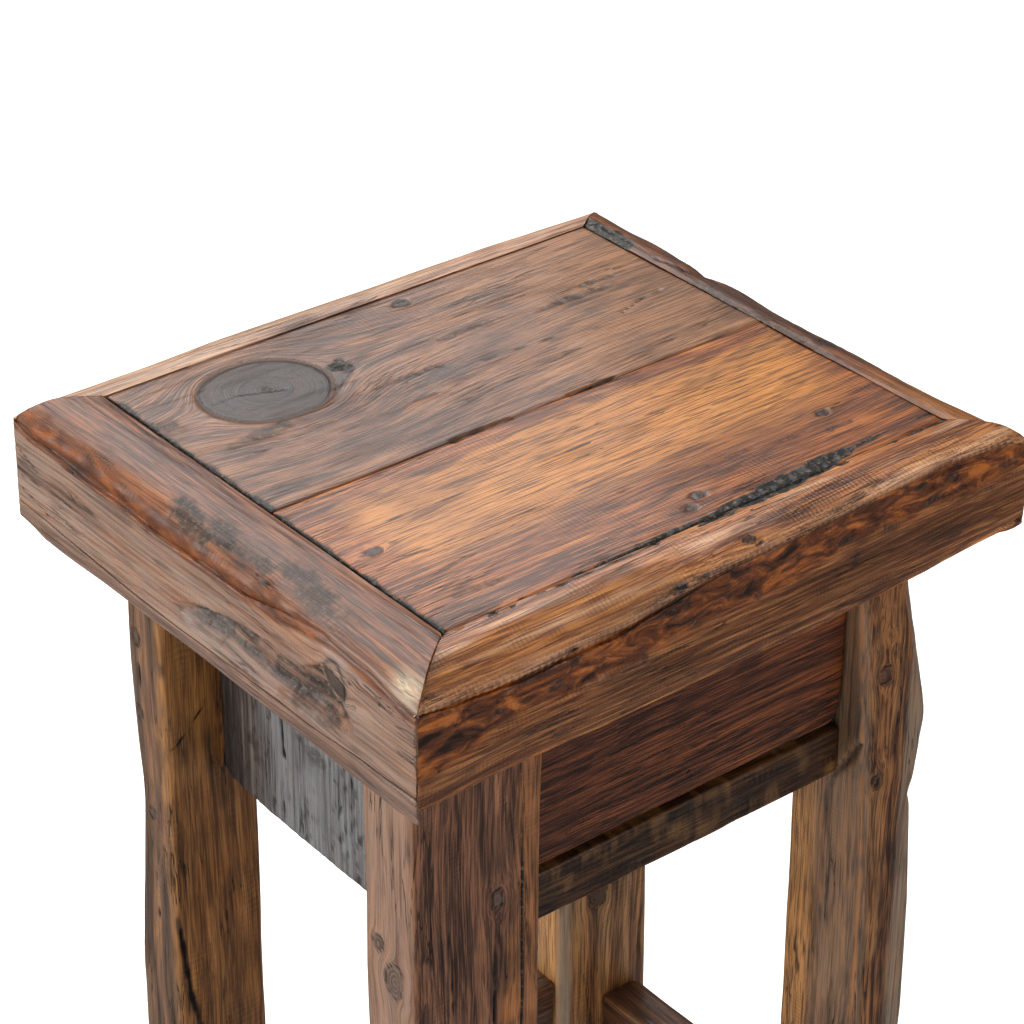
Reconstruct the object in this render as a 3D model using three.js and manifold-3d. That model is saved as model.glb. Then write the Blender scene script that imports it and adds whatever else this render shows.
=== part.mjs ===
// Rustic bar stool of reclaimed timber: a mitred seat frame round two boards, on four sawn legs
// with deep aprons, a footrest and three lower stretchers. Millimetres, +Z up, the front is -Y.
// The origin is on the floor, under the middle of the seat.

import * as THREE from 'three';
import { mergeVertices } from 'three/addons/utils/BufferGeometryUtils.js';
import Module from 'manifold-3d';

const wasm = await Module();
wasm.setup();

// Driving dimensions
const SEAT_HEIGHT = 750;
const SEAT_WIDTH = 407;
const SEAT_DEPTH = 350;
const SEAT_BOTTOM = 676;
const BOARD_TOP = 746;
const BOARD_BOTTOM = 701;
const BOARD_SEAM_Y = 0;
const PACKING_TOP = 689;
const LEDGE = 12;
const GAP = 0.3;
const RAIL_WIDTH = { left: 43, front: 35, right: 35, back: 24 };

// Section of a rail by its outer face: inset from that face, and height over its foot or under its top
const FOOT_ROUND = [[5, 0], [1, 6], [0, 24]];
const EDGE_ROUND = [[1, 18], [5, 6], [12, 0]];
const CROWN_FALL = 1;

// The packing strip stands back from the rail over it, with its lower edge eased
const STRIP_INSET = 2;
const STRIP_EASE = 4;
const SEAT_BOARD_EASE = 1;

// A rail stops this far short of its mitre at each end, along the rail
const MITRE_GAP = 0.21;

// How far a cutting solid runs past what it cuts
const OVERCUT = 1;

// Plan of each leg: lowest and highest x, then lowest and highest y
const LEGS = {
  front_left: { x: [-169, -85], y: [-126, -83] },
  front_right: { x: [146, 194], y: [-126, -66] },
  back_left: { x: [-169, -108], y: [97, 130] },
  back_right: { x: [118, 194], y: [103, 136] },
};
const LEG_EASE = 4;

// Faces of the aprons, across their thickness, and their lower edges
const APRON_THICKNESS = 20;
const APRON_LEFT_X = -131;
const APRON_RIGHT_X = 158;
const APRON_FRONT_Y = -103;
const APRON_BACK_Y = 104;
const APRON_BOTTOM = 518;
const FRONT_APRON_SPLIT = [541, 547];
const FRONT_APRON_BOTTOM = 511;
const BOARD_EASE = 2;

// Tenons, footrest and stretchers
const TENON_LENGTH = 10;
const TENON_SHOULDER = 5;
const FOOTREST = { y: [-123, -87], z: [247, 305] };
const SIDE_STRETCHER_Z = [165, 215];
const SIDE_STRETCHER_THICKNESS = 30;
const SIDE_STRETCHER_LEFT_X = -156;
const SIDE_STRETCHER_RIGHT_X = 155;
const BACK_STRETCHER = { y: [105, 127], z: [193, 243] };
const STRETCHER_EASE = 4;

// Battens, corner blocks, splines and screws
const BATTEN_WIDTH = 56;
const BATTEN_LEFT_X = -131;
const BATTEN_RIGHT_X = 100;
const BATTEN_SCREW_Y = 70;
const BLOCK_REACH_X = 75;
const BLOCK_REACH_Y = 60;
const BLOCK_HEIGHT = 55;
const SPLINE = { across: 24, along: 20, z: [692, 697] };
const SCREW_RADIUS = 2;
const SCREW_HEAD_RADIUS = 4;
const SCREW_HEAD_LENGTH = 3.5;
const SCREW_POINT_LENGTH = 5;
const SCREW_SIDES = 10;
const HOLE_SIDES = 12;
const HOLE_RADIUS = 2.4;
const COUNTERBORE_RADIUS = 4.7;
const BLOCK_SCREW_LENGTH = 30;
const SEAT_SCREW_LENGTH = 60;
const BATTEN_SCREW_LENGTH = 38;

const SEAM = {
  left: -SEAT_WIDTH / 2 + RAIL_WIDTH.left,
  right: SEAT_WIDTH / 2 - RAIL_WIDTH.right,
  front: -SEAT_DEPTH / 2 + RAIL_WIDTH.front,
  back: SEAT_DEPTH / 2 - RAIL_WIDTH.back,
};
const BASE_TOP = SEAT_BOTTOM - GAP;

const X = new THREE.Vector3(1, 0, 0);
const Y = new THREE.Vector3(0, 1, 0);
const Z = new THREE.Vector3(0, 0, 1);

const stool = new THREE.Group();

// Finishes, each a clear varnish over stained wood, and zinc for the screws
const WOOD = { roughness: 0.45, metalness: 0 };
const FINISH = {
  frame: { color: 0x6b4326, ...WOOD },
  board: { color: 0x85501f, ...WOOD },
  leg: { color: 0x6a4a32, ...WOOD },
  apron: { color: 0x4a2c1c, ...WOOD },
  stretcher: { color: 0x5d3c25, ...WOOD },
  inner: { color: 0x8a6a48, roughness: 0.7, metalness: 0 },
  zinc: { color: 0xb0ada2, roughness: 0.35, metalness: 1 },
};

function addPiece(name, geometry, finish) {
  const mesh = new THREE.Mesh(geometry, new THREE.MeshStandardMaterial(FINISH[finish]));
  mesh.name = name;
  stool.add(mesh);
}

// A closed geometry as a solid, for joining and cutting
function solidOf(geometry) {
  const bare = geometry.clone();
  bare.deleteAttribute('normal');
  bare.deleteAttribute('uv');
  const merged = mergeVertices(bare);
  const triVerts = new Uint32Array(merged.index.array);
  const vertProperties = new Float32Array(merged.attributes.position.array);
  return new wasm.Manifold(new wasm.Mesh({ numProp: 3, vertProperties, triVerts }));
}

function geometryOf(solid) {
  const mesh = solid.getMesh();
  const geometry = new THREE.BufferGeometry();
  geometry.setAttribute('position', new THREE.BufferAttribute(new Float32Array(mesh.vertProperties), 3));
  geometry.setIndex(new THREE.BufferAttribute(new Uint32Array(mesh.triVerts), 1));
  geometry.computeVertexNormals();
  return geometry;
}

function cut(solid, cutters) {
  return cutters.reduce((left, cutter) => left.subtract(cutter), solid);
}

function prism(points, depth) {
  const shape = new THREE.Shape(points.map(([u, v]) => new THREE.Vector2(u, v)));
  return new THREE.ExtrudeGeometry(shape, { depth, bevelEnabled: false });
}

// A timber with its long edges eased, running along axis 0, 1 or 2 of its box
function timber(box, axis, ease) {
  const [across, up] = [(axis + 1) % 3, (axis + 2) % 3];
  const [u0, u1] = box[across];
  const [v0, v1] = box[up];
  const points = [
    [u0 + ease, v0], [u1 - ease, v0], [u1, v0 + ease], [u1, v1 - ease],
    [u1 - ease, v1], [u0 + ease, v1], [u0, v1 - ease], [u0, v0 + ease],
  ];
  const geometry = prism(points, box[axis][1] - box[axis][0]);
  const axes = [X, Y, Z];
  const basis = new THREE.Matrix4().makeBasis(axes[across], axes[up], axes[axis]);
  geometry.applyMatrix4(basis);
  geometry.translate(...axes[axis].clone().multiplyScalar(box[axis][0]).toArray());
  return geometry;
}

function block(box) {
  const size = box.map(([low, high]) => high - low);
  const middle = box.map(([low, high]) => (low + high) / 2);
  return new THREE.BoxGeometry(...size).translate(...middle);
}

function grow(box, margin) {
  return box.map(([low, high]) => [low - margin, high + margin]);
}

// A cylinder or a screw stands on the origin along +Z and is then turned to its axis
function placeAlong(geometry, axis, base) {
  geometry.applyQuaternion(new THREE.Quaternion().setFromUnitVectors(Z, axis));
  return geometry.translate(base.x, base.y, base.z);
}

function bore(head, direction, length, radius) {
  const cylinder = new THREE.CylinderGeometry(radius, radius, length, HOLE_SIDES);
  cylinder.rotateX(Math.PI / 2).translate(0, 0, length / 2);
  return solidOf(placeAlong(cylinder, direction, head));
}

function screwGeometry(head, direction, length) {
  const profile = [
    [0, 0],
    [SCREW_HEAD_RADIUS, 0],
    [SCREW_RADIUS, SCREW_HEAD_LENGTH],
    [SCREW_RADIUS, length - SCREW_POINT_LENGTH],
    [0, length],
  ];
  const points = profile.map(([radius, along]) => new THREE.Vector2(radius, along));
  const geometry = new THREE.LatheGeometry(points, SCREW_SIDES).rotateX(Math.PI / 2);
  return placeAlong(geometry, direction, head);
}

// Every screw is listed first, because the timbers that it goes through are bored for it
const screws = [];

function addScrew(name, head, direction, length, mouth) {
  screws.push({ name, head, direction, length, mouth });
}

// The holes that a screw makes: room for its shank, with a wider mouth to its head
function screwHoles() {
  return screws.map(({ head, direction, length, mouth }) => {
    const shank = bore(head, direction, length + OVERCUT, HOLE_RADIUS);
    const start = head.clone().addScaledVector(direction, -mouth);
    return shank.add(bore(start, direction, mouth + SCREW_HEAD_LENGTH + GAP, COUNTERBORE_RADIUS));
  });
}

function addBored(name, solid, finish, holes) {
  addPiece(name, geometryOf(cut(solid, holes)), finish);
}

// Inner corner behind each leg: faces of the two aprons and of the leg, and the way inwards
function innerCorner(place) {
  const [depth, side] = place.split('_');
  const leg = LEGS[place];
  const left = side === 'left';
  const front = depth === 'front';
  return {
    place,
    wayX: left ? 1 : -1,
    wayY: front ? 1 : -1,
    apronX: left ? APRON_LEFT_X + APRON_THICKNESS : APRON_RIGHT_X,
    apronY: front ? APRON_FRONT_Y + APRON_THICKNESS : APRON_BACK_Y,
    legX: left ? leg.x[1] : leg.x[0],
    legY: front ? leg.y[1] : leg.y[0],
  };
}

const corners = Object.keys(LEGS).map(innerCorner);

// Screw places on a corner block, counted inwards from the corner of its two aprons
const BLOCK_SCREW_TO_SIDE = { x: 16, y: 44, z: 640 };
const BLOCK_SCREW_TO_FRONT = { x: 56, y: 14, z: 656 };
const SEAT_SCREW = { x: 26, y: 20, z: 637 };

function listScrews() {
  for (const { place, wayX, wayY, apronX, apronY } of corners) {
    const at = (spot) => new THREE.Vector3(apronX + wayX * spot.x, apronY + wayY * spot.y, spot.z);
    const toSide = X.clone().multiplyScalar(-wayX);
    const toFront = Y.clone().multiplyScalar(-wayY);
    addScrew(`block_screw_side_${place}`, at(BLOCK_SCREW_TO_SIDE), toSide, BLOCK_SCREW_LENGTH, BLOCK_HEIGHT);
    addScrew(`block_screw_end_${place}`, at(BLOCK_SCREW_TO_FRONT), toFront, BLOCK_SCREW_LENGTH, BLOCK_HEIGHT);
    addScrew(`seat_screw_${place}`, at(SEAT_SCREW), Z, SEAT_SCREW_LENGTH, BLOCK_HEIGHT);
  }
  for (const [side, low] of [['left', BATTEN_LEFT_X], ['right', BATTEN_RIGHT_X]]) {
    for (const [row, way] of [['front', -1], ['back', 1]]) {
      const head = new THREE.Vector3(low + BATTEN_WIDTH / 2, way * BATTEN_SCREW_Y, SEAT_BOTTOM + 2 * GAP);
      addScrew(`batten_screw_${row}_${side}`, head, Z, BATTEN_SCREW_LENGTH, GAP);
    }
  }
}

// Profile of a seat rail: outward distance from the seam with the boards, then height
function railProfile(width, bottom) {
  return [
    [-LEDGE, bottom],
    ...FOOT_ROUND.map(([inset, up]) => [width - inset, bottom + up]),
    ...EDGE_ROUND.map(([inset, down]) => [width - inset, SEAT_HEIGHT - down]),
    [width / 3, SEAT_HEIGHT - CROWN_FALL],
    [0, BOARD_TOP],
    [0, BOARD_BOTTOM],
    [-LEDGE, BOARD_BOTTOM],
  ];
}

// Two corners of the seat that a rail runs between, as signs of x and y, and its outward way
const RAIL_ENDS = {
  left: { out: [-1, 0], from: [-1, -1], to: [-1, 1] },
  front: { out: [0, -1], from: [-1, -1], to: [1, -1] },
  right: { out: [1, 0], from: [1, -1], to: [1, 1] },
  back: { out: [0, 1], from: [-1, 1], to: [1, 1] },
};

// A point on the mitre line of a seat corner: 0 is the outer corner and 1 the boards' corner
function mitrePoint([signX, signY], t) {
  const widthX = signX < 0 ? RAIL_WIDTH.left : RAIL_WIDTH.right;
  const widthY = signY < 0 ? RAIL_WIDTH.front : RAIL_WIDTH.back;
  return [signX * (SEAT_WIDTH / 2 - t * widthX), signY * (SEAT_DEPTH / 2 - t * widthY)];
}

// Plan of a rail between its two mitres, a hair short at each, as a tall solid
function mitredPlan(side) {
  const { from, to } = RAIL_ENDS[side];
  const PAST_EDGE = -0.1;
  const PAST_LEDGE = 1.6;
  const corner = (end, t) => {
    const [x, y] = mitrePoint(end, t);
    const alongX = from[0] !== to[0];
    return alongX ? [x - end[0] * MITRE_GAP, y] : [x, y - end[1] * MITRE_GAP];
  };
  const ring = [
    corner(from, PAST_EDGE), corner(to, PAST_EDGE), corner(to, PAST_LEDGE), corner(from, PAST_LEDGE),
  ];
  const outline = THREE.ShapeUtils.isClockWise(ring.map(([x, y]) => ({ x, y }))) ? ring.reverse() : ring;
  return solidOf(prism(outline, SEAT_HEIGHT + OVERCUT));
}

function mitredRail(side, profile) {
  const [outX, outY] = RAIL_ENDS[side].out;
  const out = new THREE.Vector3(outX, outY, 0);
  const along = out.clone().cross(Z);
  const length = SEAT_WIDTH + 2 * OVERCUT;
  const geometry = prism(profile, length).translate(0, 0, -length / 2);
  geometry.applyMatrix4(new THREE.Matrix4().makeBasis(out, Z, along));
  const offset = Math.abs(SEAM[side]);
  geometry.translate(outX * offset, outY * offset, 0);
  return solidOf(geometry).intersect(mitredPlan(side));
}

function splineBox(cornerSigns, margin) {
  const [x, y] = mitrePoint(cornerSigns, 1);
  const [outerX, outerY] = mitrePoint(cornerSigns, 0);
  const [low, high] = SPLINE.z;
  const size = [SPLINE.along, SPLINE.across, high - low].map((length) => length + 2 * margin);
  const geometry = new THREE.BoxGeometry(...size);
  geometry.rotateZ(Math.atan2(outerY - y, outerX - x));
  return geometry.translate(x, y, (low + high) / 2);
}

function addSeat(holes) {
  const signs = { front_left: [-1, -1], front_right: [1, -1], back_left: [-1, 1], back_right: [1, 1] };
  const slots = Object.values(signs).map((corner) => solidOf(splineBox(corner, GAP)));
  for (const side of Object.keys(RAIL_WIDTH)) {
    const bottom = side === 'left' ? PACKING_TOP + GAP : SEAT_BOTTOM;
    const rail = mitredRail(side, railProfile(RAIL_WIDTH[side], bottom));
    addPiece(`seat_rail_${side}`, geometryOf(cut(rail, slots)), 'frame');
  }
  for (const [place, corner] of Object.entries(signs)) {
    addPiece(`mitre_spline_${place}`, splineBox(corner, 0), 'inner');
  }
  const width = RAIL_WIDTH.left;
  const strip = [
    [-LEDGE, SEAT_BOTTOM],
    [width - STRIP_INSET - STRIP_EASE, SEAT_BOTTOM],
    [width - STRIP_INSET, SEAT_BOTTOM + STRIP_EASE],
    [width - STRIP_INSET, PACKING_TOP],
    [-LEDGE, PACKING_TOP],
  ];
  addPiece('seat_packing_strip', geometryOf(mitredRail('left', strip)), 'frame');
  const boardX = [SEAM.left + GAP, SEAM.right - GAP];
  const boardZ = [BOARD_BOTTOM + GAP, BOARD_TOP];
  const front = [boardX, [SEAM.front + GAP, BOARD_SEAM_Y - GAP / 2], boardZ];
  const back = [boardX, [BOARD_SEAM_Y + GAP / 2, SEAM.back - GAP], boardZ];
  addBored('seat_board_front', solidOf(timber(front, 0, SEAT_BOARD_EASE)), 'board', holes);
  addBored('seat_board_back', solidOf(timber(back, 0, SEAT_BOARD_EASE)), 'board', holes);
  for (const [side, low] of [['left', BATTEN_LEFT_X], ['right', BATTEN_RIGHT_X]]) {
    const y = [SEAM.front + LEDGE + GAP, SEAM.back - LEDGE - GAP];
    const batten = [[low, low + BATTEN_WIDTH], y, [SEAT_BOTTOM + GAP, BOARD_BOTTOM]];
    addBored(`seat_batten_${side}`, solidOf(timber(batten, 1, BOARD_EASE)), 'inner', holes);
  }
}

// A rail between two legs along x or y, with a tenon at each end. Its mortises go in the legs.
function tenonedRail(box, axis, ease) {
  const body = box.map((range, index) => (index === axis ? [range[0] + GAP, range[1] - GAP] : range));
  const tenon = box.map(([low, high], index) => {
    const out = index === axis ? TENON_LENGTH : -TENON_SHOULDER;
    return [low - out, high + out];
  });
  const solid = solidOf(timber(body, axis, ease)).add(solidOf(block(tenon)));
  return { solid, mortise: solidOf(block(grow(tenon, GAP))) };
}

const leftLegs = [LEGS.front_left.y[1], LEGS.back_left.y[0]];
const rightLegs = [LEGS.front_right.y[1], LEGS.back_right.y[0]];
const frontLegs = [LEGS.front_left.x[1], LEGS.front_right.x[0]];
const backLegs = [LEGS.back_left.x[1], LEGS.back_right.x[0]];

function thick(low, thickness) {
  return [low, low + thickness];
}

const apronZ = [APRON_BOTTOM, BASE_TOP];
const frontApronY = thick(APRON_FRONT_Y, APRON_THICKNESS);
const RAILS = [
  ['apron_left', [thick(APRON_LEFT_X, APRON_THICKNESS), leftLegs, apronZ], 1, BOARD_EASE, 'apron'],
  ['apron_right', [thick(APRON_RIGHT_X, APRON_THICKNESS), rightLegs, apronZ], 1, BOARD_EASE, 'apron'],
  ['apron_back', [backLegs, thick(APRON_BACK_Y, APRON_THICKNESS), apronZ], 0, BOARD_EASE, 'apron'],
  ['apron_front_upper', [frontLegs, frontApronY, [FRONT_APRON_SPLIT[1], BASE_TOP]], 0, BOARD_EASE, 'apron'],
  ['apron_front_lower', [frontLegs, frontApronY, [FRONT_APRON_BOTTOM, FRONT_APRON_SPLIT[0]]], 0, BOARD_EASE,
    'apron'],
  ['footrest_front', [frontLegs, FOOTREST.y, FOOTREST.z], 0, STRETCHER_EASE, 'stretcher'],
  ['stretcher_left', [thick(SIDE_STRETCHER_LEFT_X, SIDE_STRETCHER_THICKNESS), leftLegs, SIDE_STRETCHER_Z], 1,
    STRETCHER_EASE, 'stretcher'],
  ['stretcher_right', [thick(SIDE_STRETCHER_RIGHT_X, SIDE_STRETCHER_THICKNESS), rightLegs, SIDE_STRETCHER_Z],
    1, STRETCHER_EASE, 'stretcher'],
  ['stretcher_back', [backLegs, BACK_STRETCHER.y, BACK_STRETCHER.z], 0, STRETCHER_EASE, 'stretcher'],
];

function addBase(holes) {
  const mortises = [];
  for (const [name, box, axis, ease, finish] of RAILS) {
    const { solid, mortise } = tenonedRail(box, axis, ease);
    mortises.push(mortise);
    addBored(name, solid, finish, holes);
  }
  for (const [place, { x, y }] of Object.entries(LEGS)) {
    const leg = solidOf(timber([x, y, [0, BASE_TOP]], 2, LEG_EASE));
    addPiece(`leg_${place}`, geometryOf(cut(leg, mortises)), 'leg');
  }
}

// A corner block fills the corner of its two aprons, notched round the leg, with a diagonal face
function blockOutline({ wayX, wayY, apronX, apronY, legX, legY }) {
  const clear = (value, way) => value + way * GAP;
  const ring = [
    [clear(apronX, wayX), clear(legY, wayY)],
    [clear(legX, wayX), clear(legY, wayY)],
    [clear(legX, wayX), clear(apronY, wayY)],
    [apronX + wayX * BLOCK_REACH_X, clear(apronY, wayY)],
    [clear(apronX, wayX), apronY + wayY * BLOCK_REACH_Y],
  ];
  const distinct = ring.filter(([x, y], index) => {
    const [lastX, lastY] = ring[(index + ring.length - 1) % ring.length];
    return Math.hypot(x - lastX, y - lastY) > 0.01;
  });
  return THREE.ShapeUtils.isClockWise(distinct.map(([x, y]) => ({ x, y }))) ? distinct.reverse() : distinct;
}

function addCornerBlocks(holes) {
  for (const corner of corners) {
    const geometry = prism(blockOutline(corner), BLOCK_HEIGHT);
    geometry.translate(0, 0, BASE_TOP - BLOCK_HEIGHT);
    addBored(`corner_block_${corner.place}`, solidOf(geometry), 'inner', holes);
  }
}

listScrews();
const holes = screwHoles();
addSeat(holes);
addBase(holes);
addCornerBlocks(holes);
for (const { name, head, direction, length } of screws) {
  addPiece(name, screwGeometry(head, direction, length), 'zinc');
}

export default stool;
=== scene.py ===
import itertools
import math

import bpy
import numpy as np
from mathutils import Matrix, Vector


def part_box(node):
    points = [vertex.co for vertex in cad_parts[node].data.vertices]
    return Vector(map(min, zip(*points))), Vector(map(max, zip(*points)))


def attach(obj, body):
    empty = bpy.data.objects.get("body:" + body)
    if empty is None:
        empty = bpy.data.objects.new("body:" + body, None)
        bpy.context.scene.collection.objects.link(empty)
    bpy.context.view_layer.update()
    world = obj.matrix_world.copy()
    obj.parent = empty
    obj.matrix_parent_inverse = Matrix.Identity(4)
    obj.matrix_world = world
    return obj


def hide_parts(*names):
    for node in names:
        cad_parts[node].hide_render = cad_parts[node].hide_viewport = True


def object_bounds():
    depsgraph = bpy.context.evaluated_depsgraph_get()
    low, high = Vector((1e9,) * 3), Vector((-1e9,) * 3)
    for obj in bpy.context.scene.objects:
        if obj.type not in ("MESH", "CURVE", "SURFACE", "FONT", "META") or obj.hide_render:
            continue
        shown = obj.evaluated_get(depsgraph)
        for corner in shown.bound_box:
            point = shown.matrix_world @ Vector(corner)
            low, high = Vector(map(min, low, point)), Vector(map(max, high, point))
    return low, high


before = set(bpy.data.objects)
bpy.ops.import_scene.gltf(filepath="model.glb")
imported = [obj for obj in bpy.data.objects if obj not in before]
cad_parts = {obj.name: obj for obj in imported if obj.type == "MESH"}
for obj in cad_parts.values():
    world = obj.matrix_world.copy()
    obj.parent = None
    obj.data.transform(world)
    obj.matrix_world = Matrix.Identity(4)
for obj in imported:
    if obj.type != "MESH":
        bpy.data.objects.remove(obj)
cad_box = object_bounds()

# Camera: a long lens from the front left, looking down on the seat, rolled by a third of a degree.
# It stands about 1.7 m from the seat, at twice the stool's height.

camera_data = bpy.data.cameras.new("camera")
camera_data.lens = 115.4
camera_data.sensor_width = 36
camera = bpy.data.objects.new("camera", camera_data)
bpy.context.scene.collection.objects.link(camera)
looking = Vector((0.540, 0.6664, -0.5141))
roll = Matrix.Rotation(math.radians(0.38), 4, "Z")
turn = looking.to_track_quat("-Z", "Y").to_matrix().to_4x4()
camera.matrix_world = Matrix.Translation((-0.9418, -1.1551, 1.5799)) @ turn @ roll
bpy.context.scene.camera = camera
bpy.context.scene.view_settings.view_transform = "Standard"

# Studio: a wide soft box behind and above, one on the left and a weak one in front, under a dim
# white sky. The pale paper floor runs out to all sides.

def linear(hexadecimal):
    """An sRGB hex colour as linear red, green, blue and alpha."""
    shares = [int(hexadecimal[start:start + 2], 16) / 255 for start in (0, 2, 4)]
    return (*[share / 12.92 if share <= 0.04045 else ((share + 0.055) / 1.055) ** 2.4
              for share in shares], 1)


SOFTBOXES = {
    "softbox_back": {"at": (0.3, 1.3, 2.3), "to": (0.1, 0.5, 0.4), "size": 2.2, "watts": 50},
    "softbox_left": {"at": (-2.1, 0.7, 1.3), "to": (0, 0, 0.55), "size": 2.2, "watts": 60},
    "softbox_front": {"at": (0.5, -2.2, 2.0), "to": (0, 0, 0.5), "size": 1.4, "watts": 15},
}
for name, box in SOFTBOXES.items():
    light = bpy.data.lights.new(name, "AREA")
    light.size = box["size"]
    light.energy = box["watts"]
    lamp = bpy.data.objects.new(name, light)
    lamp.location = box["at"]
    aim = Vector(box["to"]) - Vector(box["at"])
    lamp.rotation_euler = aim.to_track_quat("-Z", "Y").to_euler()
    bpy.context.scene.collection.objects.link(lamp)
world = bpy.data.worlds.new("studio")
world.use_nodes = True
world.node_tree.nodes["Background"].inputs["Color"].default_value = linear("f9fcff")
world.node_tree.nodes["Background"].inputs["Strength"].default_value = 0.12
bpy.context.scene.world = world

FLOOR_SIZE = 14
bpy.ops.object.select_all(action="DESELECT")
bpy.ops.mesh.primitive_plane_add(size=FLOOR_SIZE, location=(0, 0, cad_box[0][2] - 0.0005))
floor = bpy.context.object
floor.name = "floor"
# Matt white paper: no shine, and a little light of its own so that it stays even.
paper = bpy.data.materials.new("matt_paper")
paper.use_nodes = True
paper.node_tree.nodes["Principled BSDF"].inputs["Base Color"].default_value = linear("fbfbfb")
paper.node_tree.nodes["Principled BSDF"].inputs["Roughness"].default_value = 0.9
paper.node_tree.nodes["Principled BSDF"].inputs["Emission Color"].default_value = linear("ffffff")
paper.node_tree.nodes["Principled BSDF"].inputs["Emission Strength"].default_value = 0.5
floor.data.materials.append(paper)
floor.visible_glossy = False

# Seat boards: two softwood planks, laid side by side in the frame with the grain from left to
# right. They are planed, worn hollow, stained and varnished. The back one has a big black knot.

MM = 0.001


def blank(name, low, high, ease):
    """A sawn blank from low to high, in millimetres, with its edges eased."""
    low, high = np.array(low, float), np.array(high, float)
    bpy.ops.object.select_all(action="DESELECT")
    bpy.ops.mesh.primitive_cube_add(size=1, location=(low + high) / 2 * MM, scale=(high - low) * MM)
    piece = bpy.context.object
    piece.name = name
    piece.data.name = name
    bpy.ops.object.transform_apply(location=True, rotation=False, scale=True)
    bpy.ops.object.mode_set(mode="EDIT")
    bpy.ops.mesh.select_all(action="SELECT")
    bpy.ops.mesh.bevel(offset=ease * MM, segments=3, affect="EDGES")
    bpy.ops.object.mode_set(mode="OBJECT")
    return piece


def even_quads(piece, cell):
    """Remakes the piece's surface as even quads, cell millimetres apart, ready to be carved."""
    bpy.ops.object.select_all(action="DESELECT")
    bpy.context.view_layer.objects.active = piece
    piece.select_set(True)
    remesh = piece.modifiers.new("even_quads", "REMESH")
    remesh.mode = "VOXEL"
    remesh.voxel_size = cell * MM
    remesh.use_smooth_shade = True
    bpy.ops.object.modifier_apply(modifier=remesh.name)


def points_of(piece):
    flat = np.empty(len(piece.data.vertices) * 3)
    piece.data.vertices.foreach_get("co", flat)
    return flat.reshape(-1, 3) / MM


def normals_of(piece):
    flat = np.empty(len(piece.data.vertices) * 3)
    piece.data.vertices.foreach_get("normal", flat)
    return flat.reshape(-1, 3)


def move_points(piece, points):
    piece.data.vertices.foreach_set("co", (points * MM).ravel())
    piece.data.update()


def noise(points, size, seed):
    """Smooth noise from -1 to 1, in lumps of that size in millimetres (one number, or one per axis)."""
    table = np.random.default_rng(seed).uniform(-1, 1, 4096)
    scaled = points / np.array(size, float) + 500
    cell = np.floor(scaled).astype(np.int64)
    inside = scaled - cell
    soft = inside * inside * (3 - 2 * inside)
    total = np.zeros(len(points))
    for corner in itertools.product((0, 1), repeat=3):
        index = cell + corner
        hashed = (index[:, 0] * 73856093) ^ (index[:, 1] * 19349663) ^ (index[:, 2] * 83492791)
        weight = np.where(corner, soft, 1 - soft).prod(axis=1)
        total += weight * table[hashed % 4096]
    return total


def ease_in(value, low, high):
    """0 below low, 1 above high, and a smooth step between them. It falls where high is below low."""
    t = np.clip((value - low) / (high - low), 0, 1)
    return t * t * (3 - 2 * t)


def along_path(points, path):
    """Distance of each point from a broken line through the points of path."""
    nearest = np.full(len(points), 1e9)
    for start, end in zip(path[:-1], path[1:]):
        start, end = np.array(start, float), np.array(end, float)
        span = end - start
        t = np.clip((points - start) @ span / (span @ span), 0, 1)
        nearest = np.minimum(nearest, np.linalg.norm(points - start - t[:, None] * span, axis=1))
    return nearest


# Sizes in millimetres, along the grain and across it: slow waves, tool marks, and dark smudges
WAVE = (190.0, 60.0)
TOOL_MARK = (26.0, 2.4)
SMUDGE = (34.0, 6.0)
BIG_KNOT = 20


def strongest(*masks):
    """The strongest of several masks at each point."""
    return np.maximum.reduce(masks)


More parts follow.
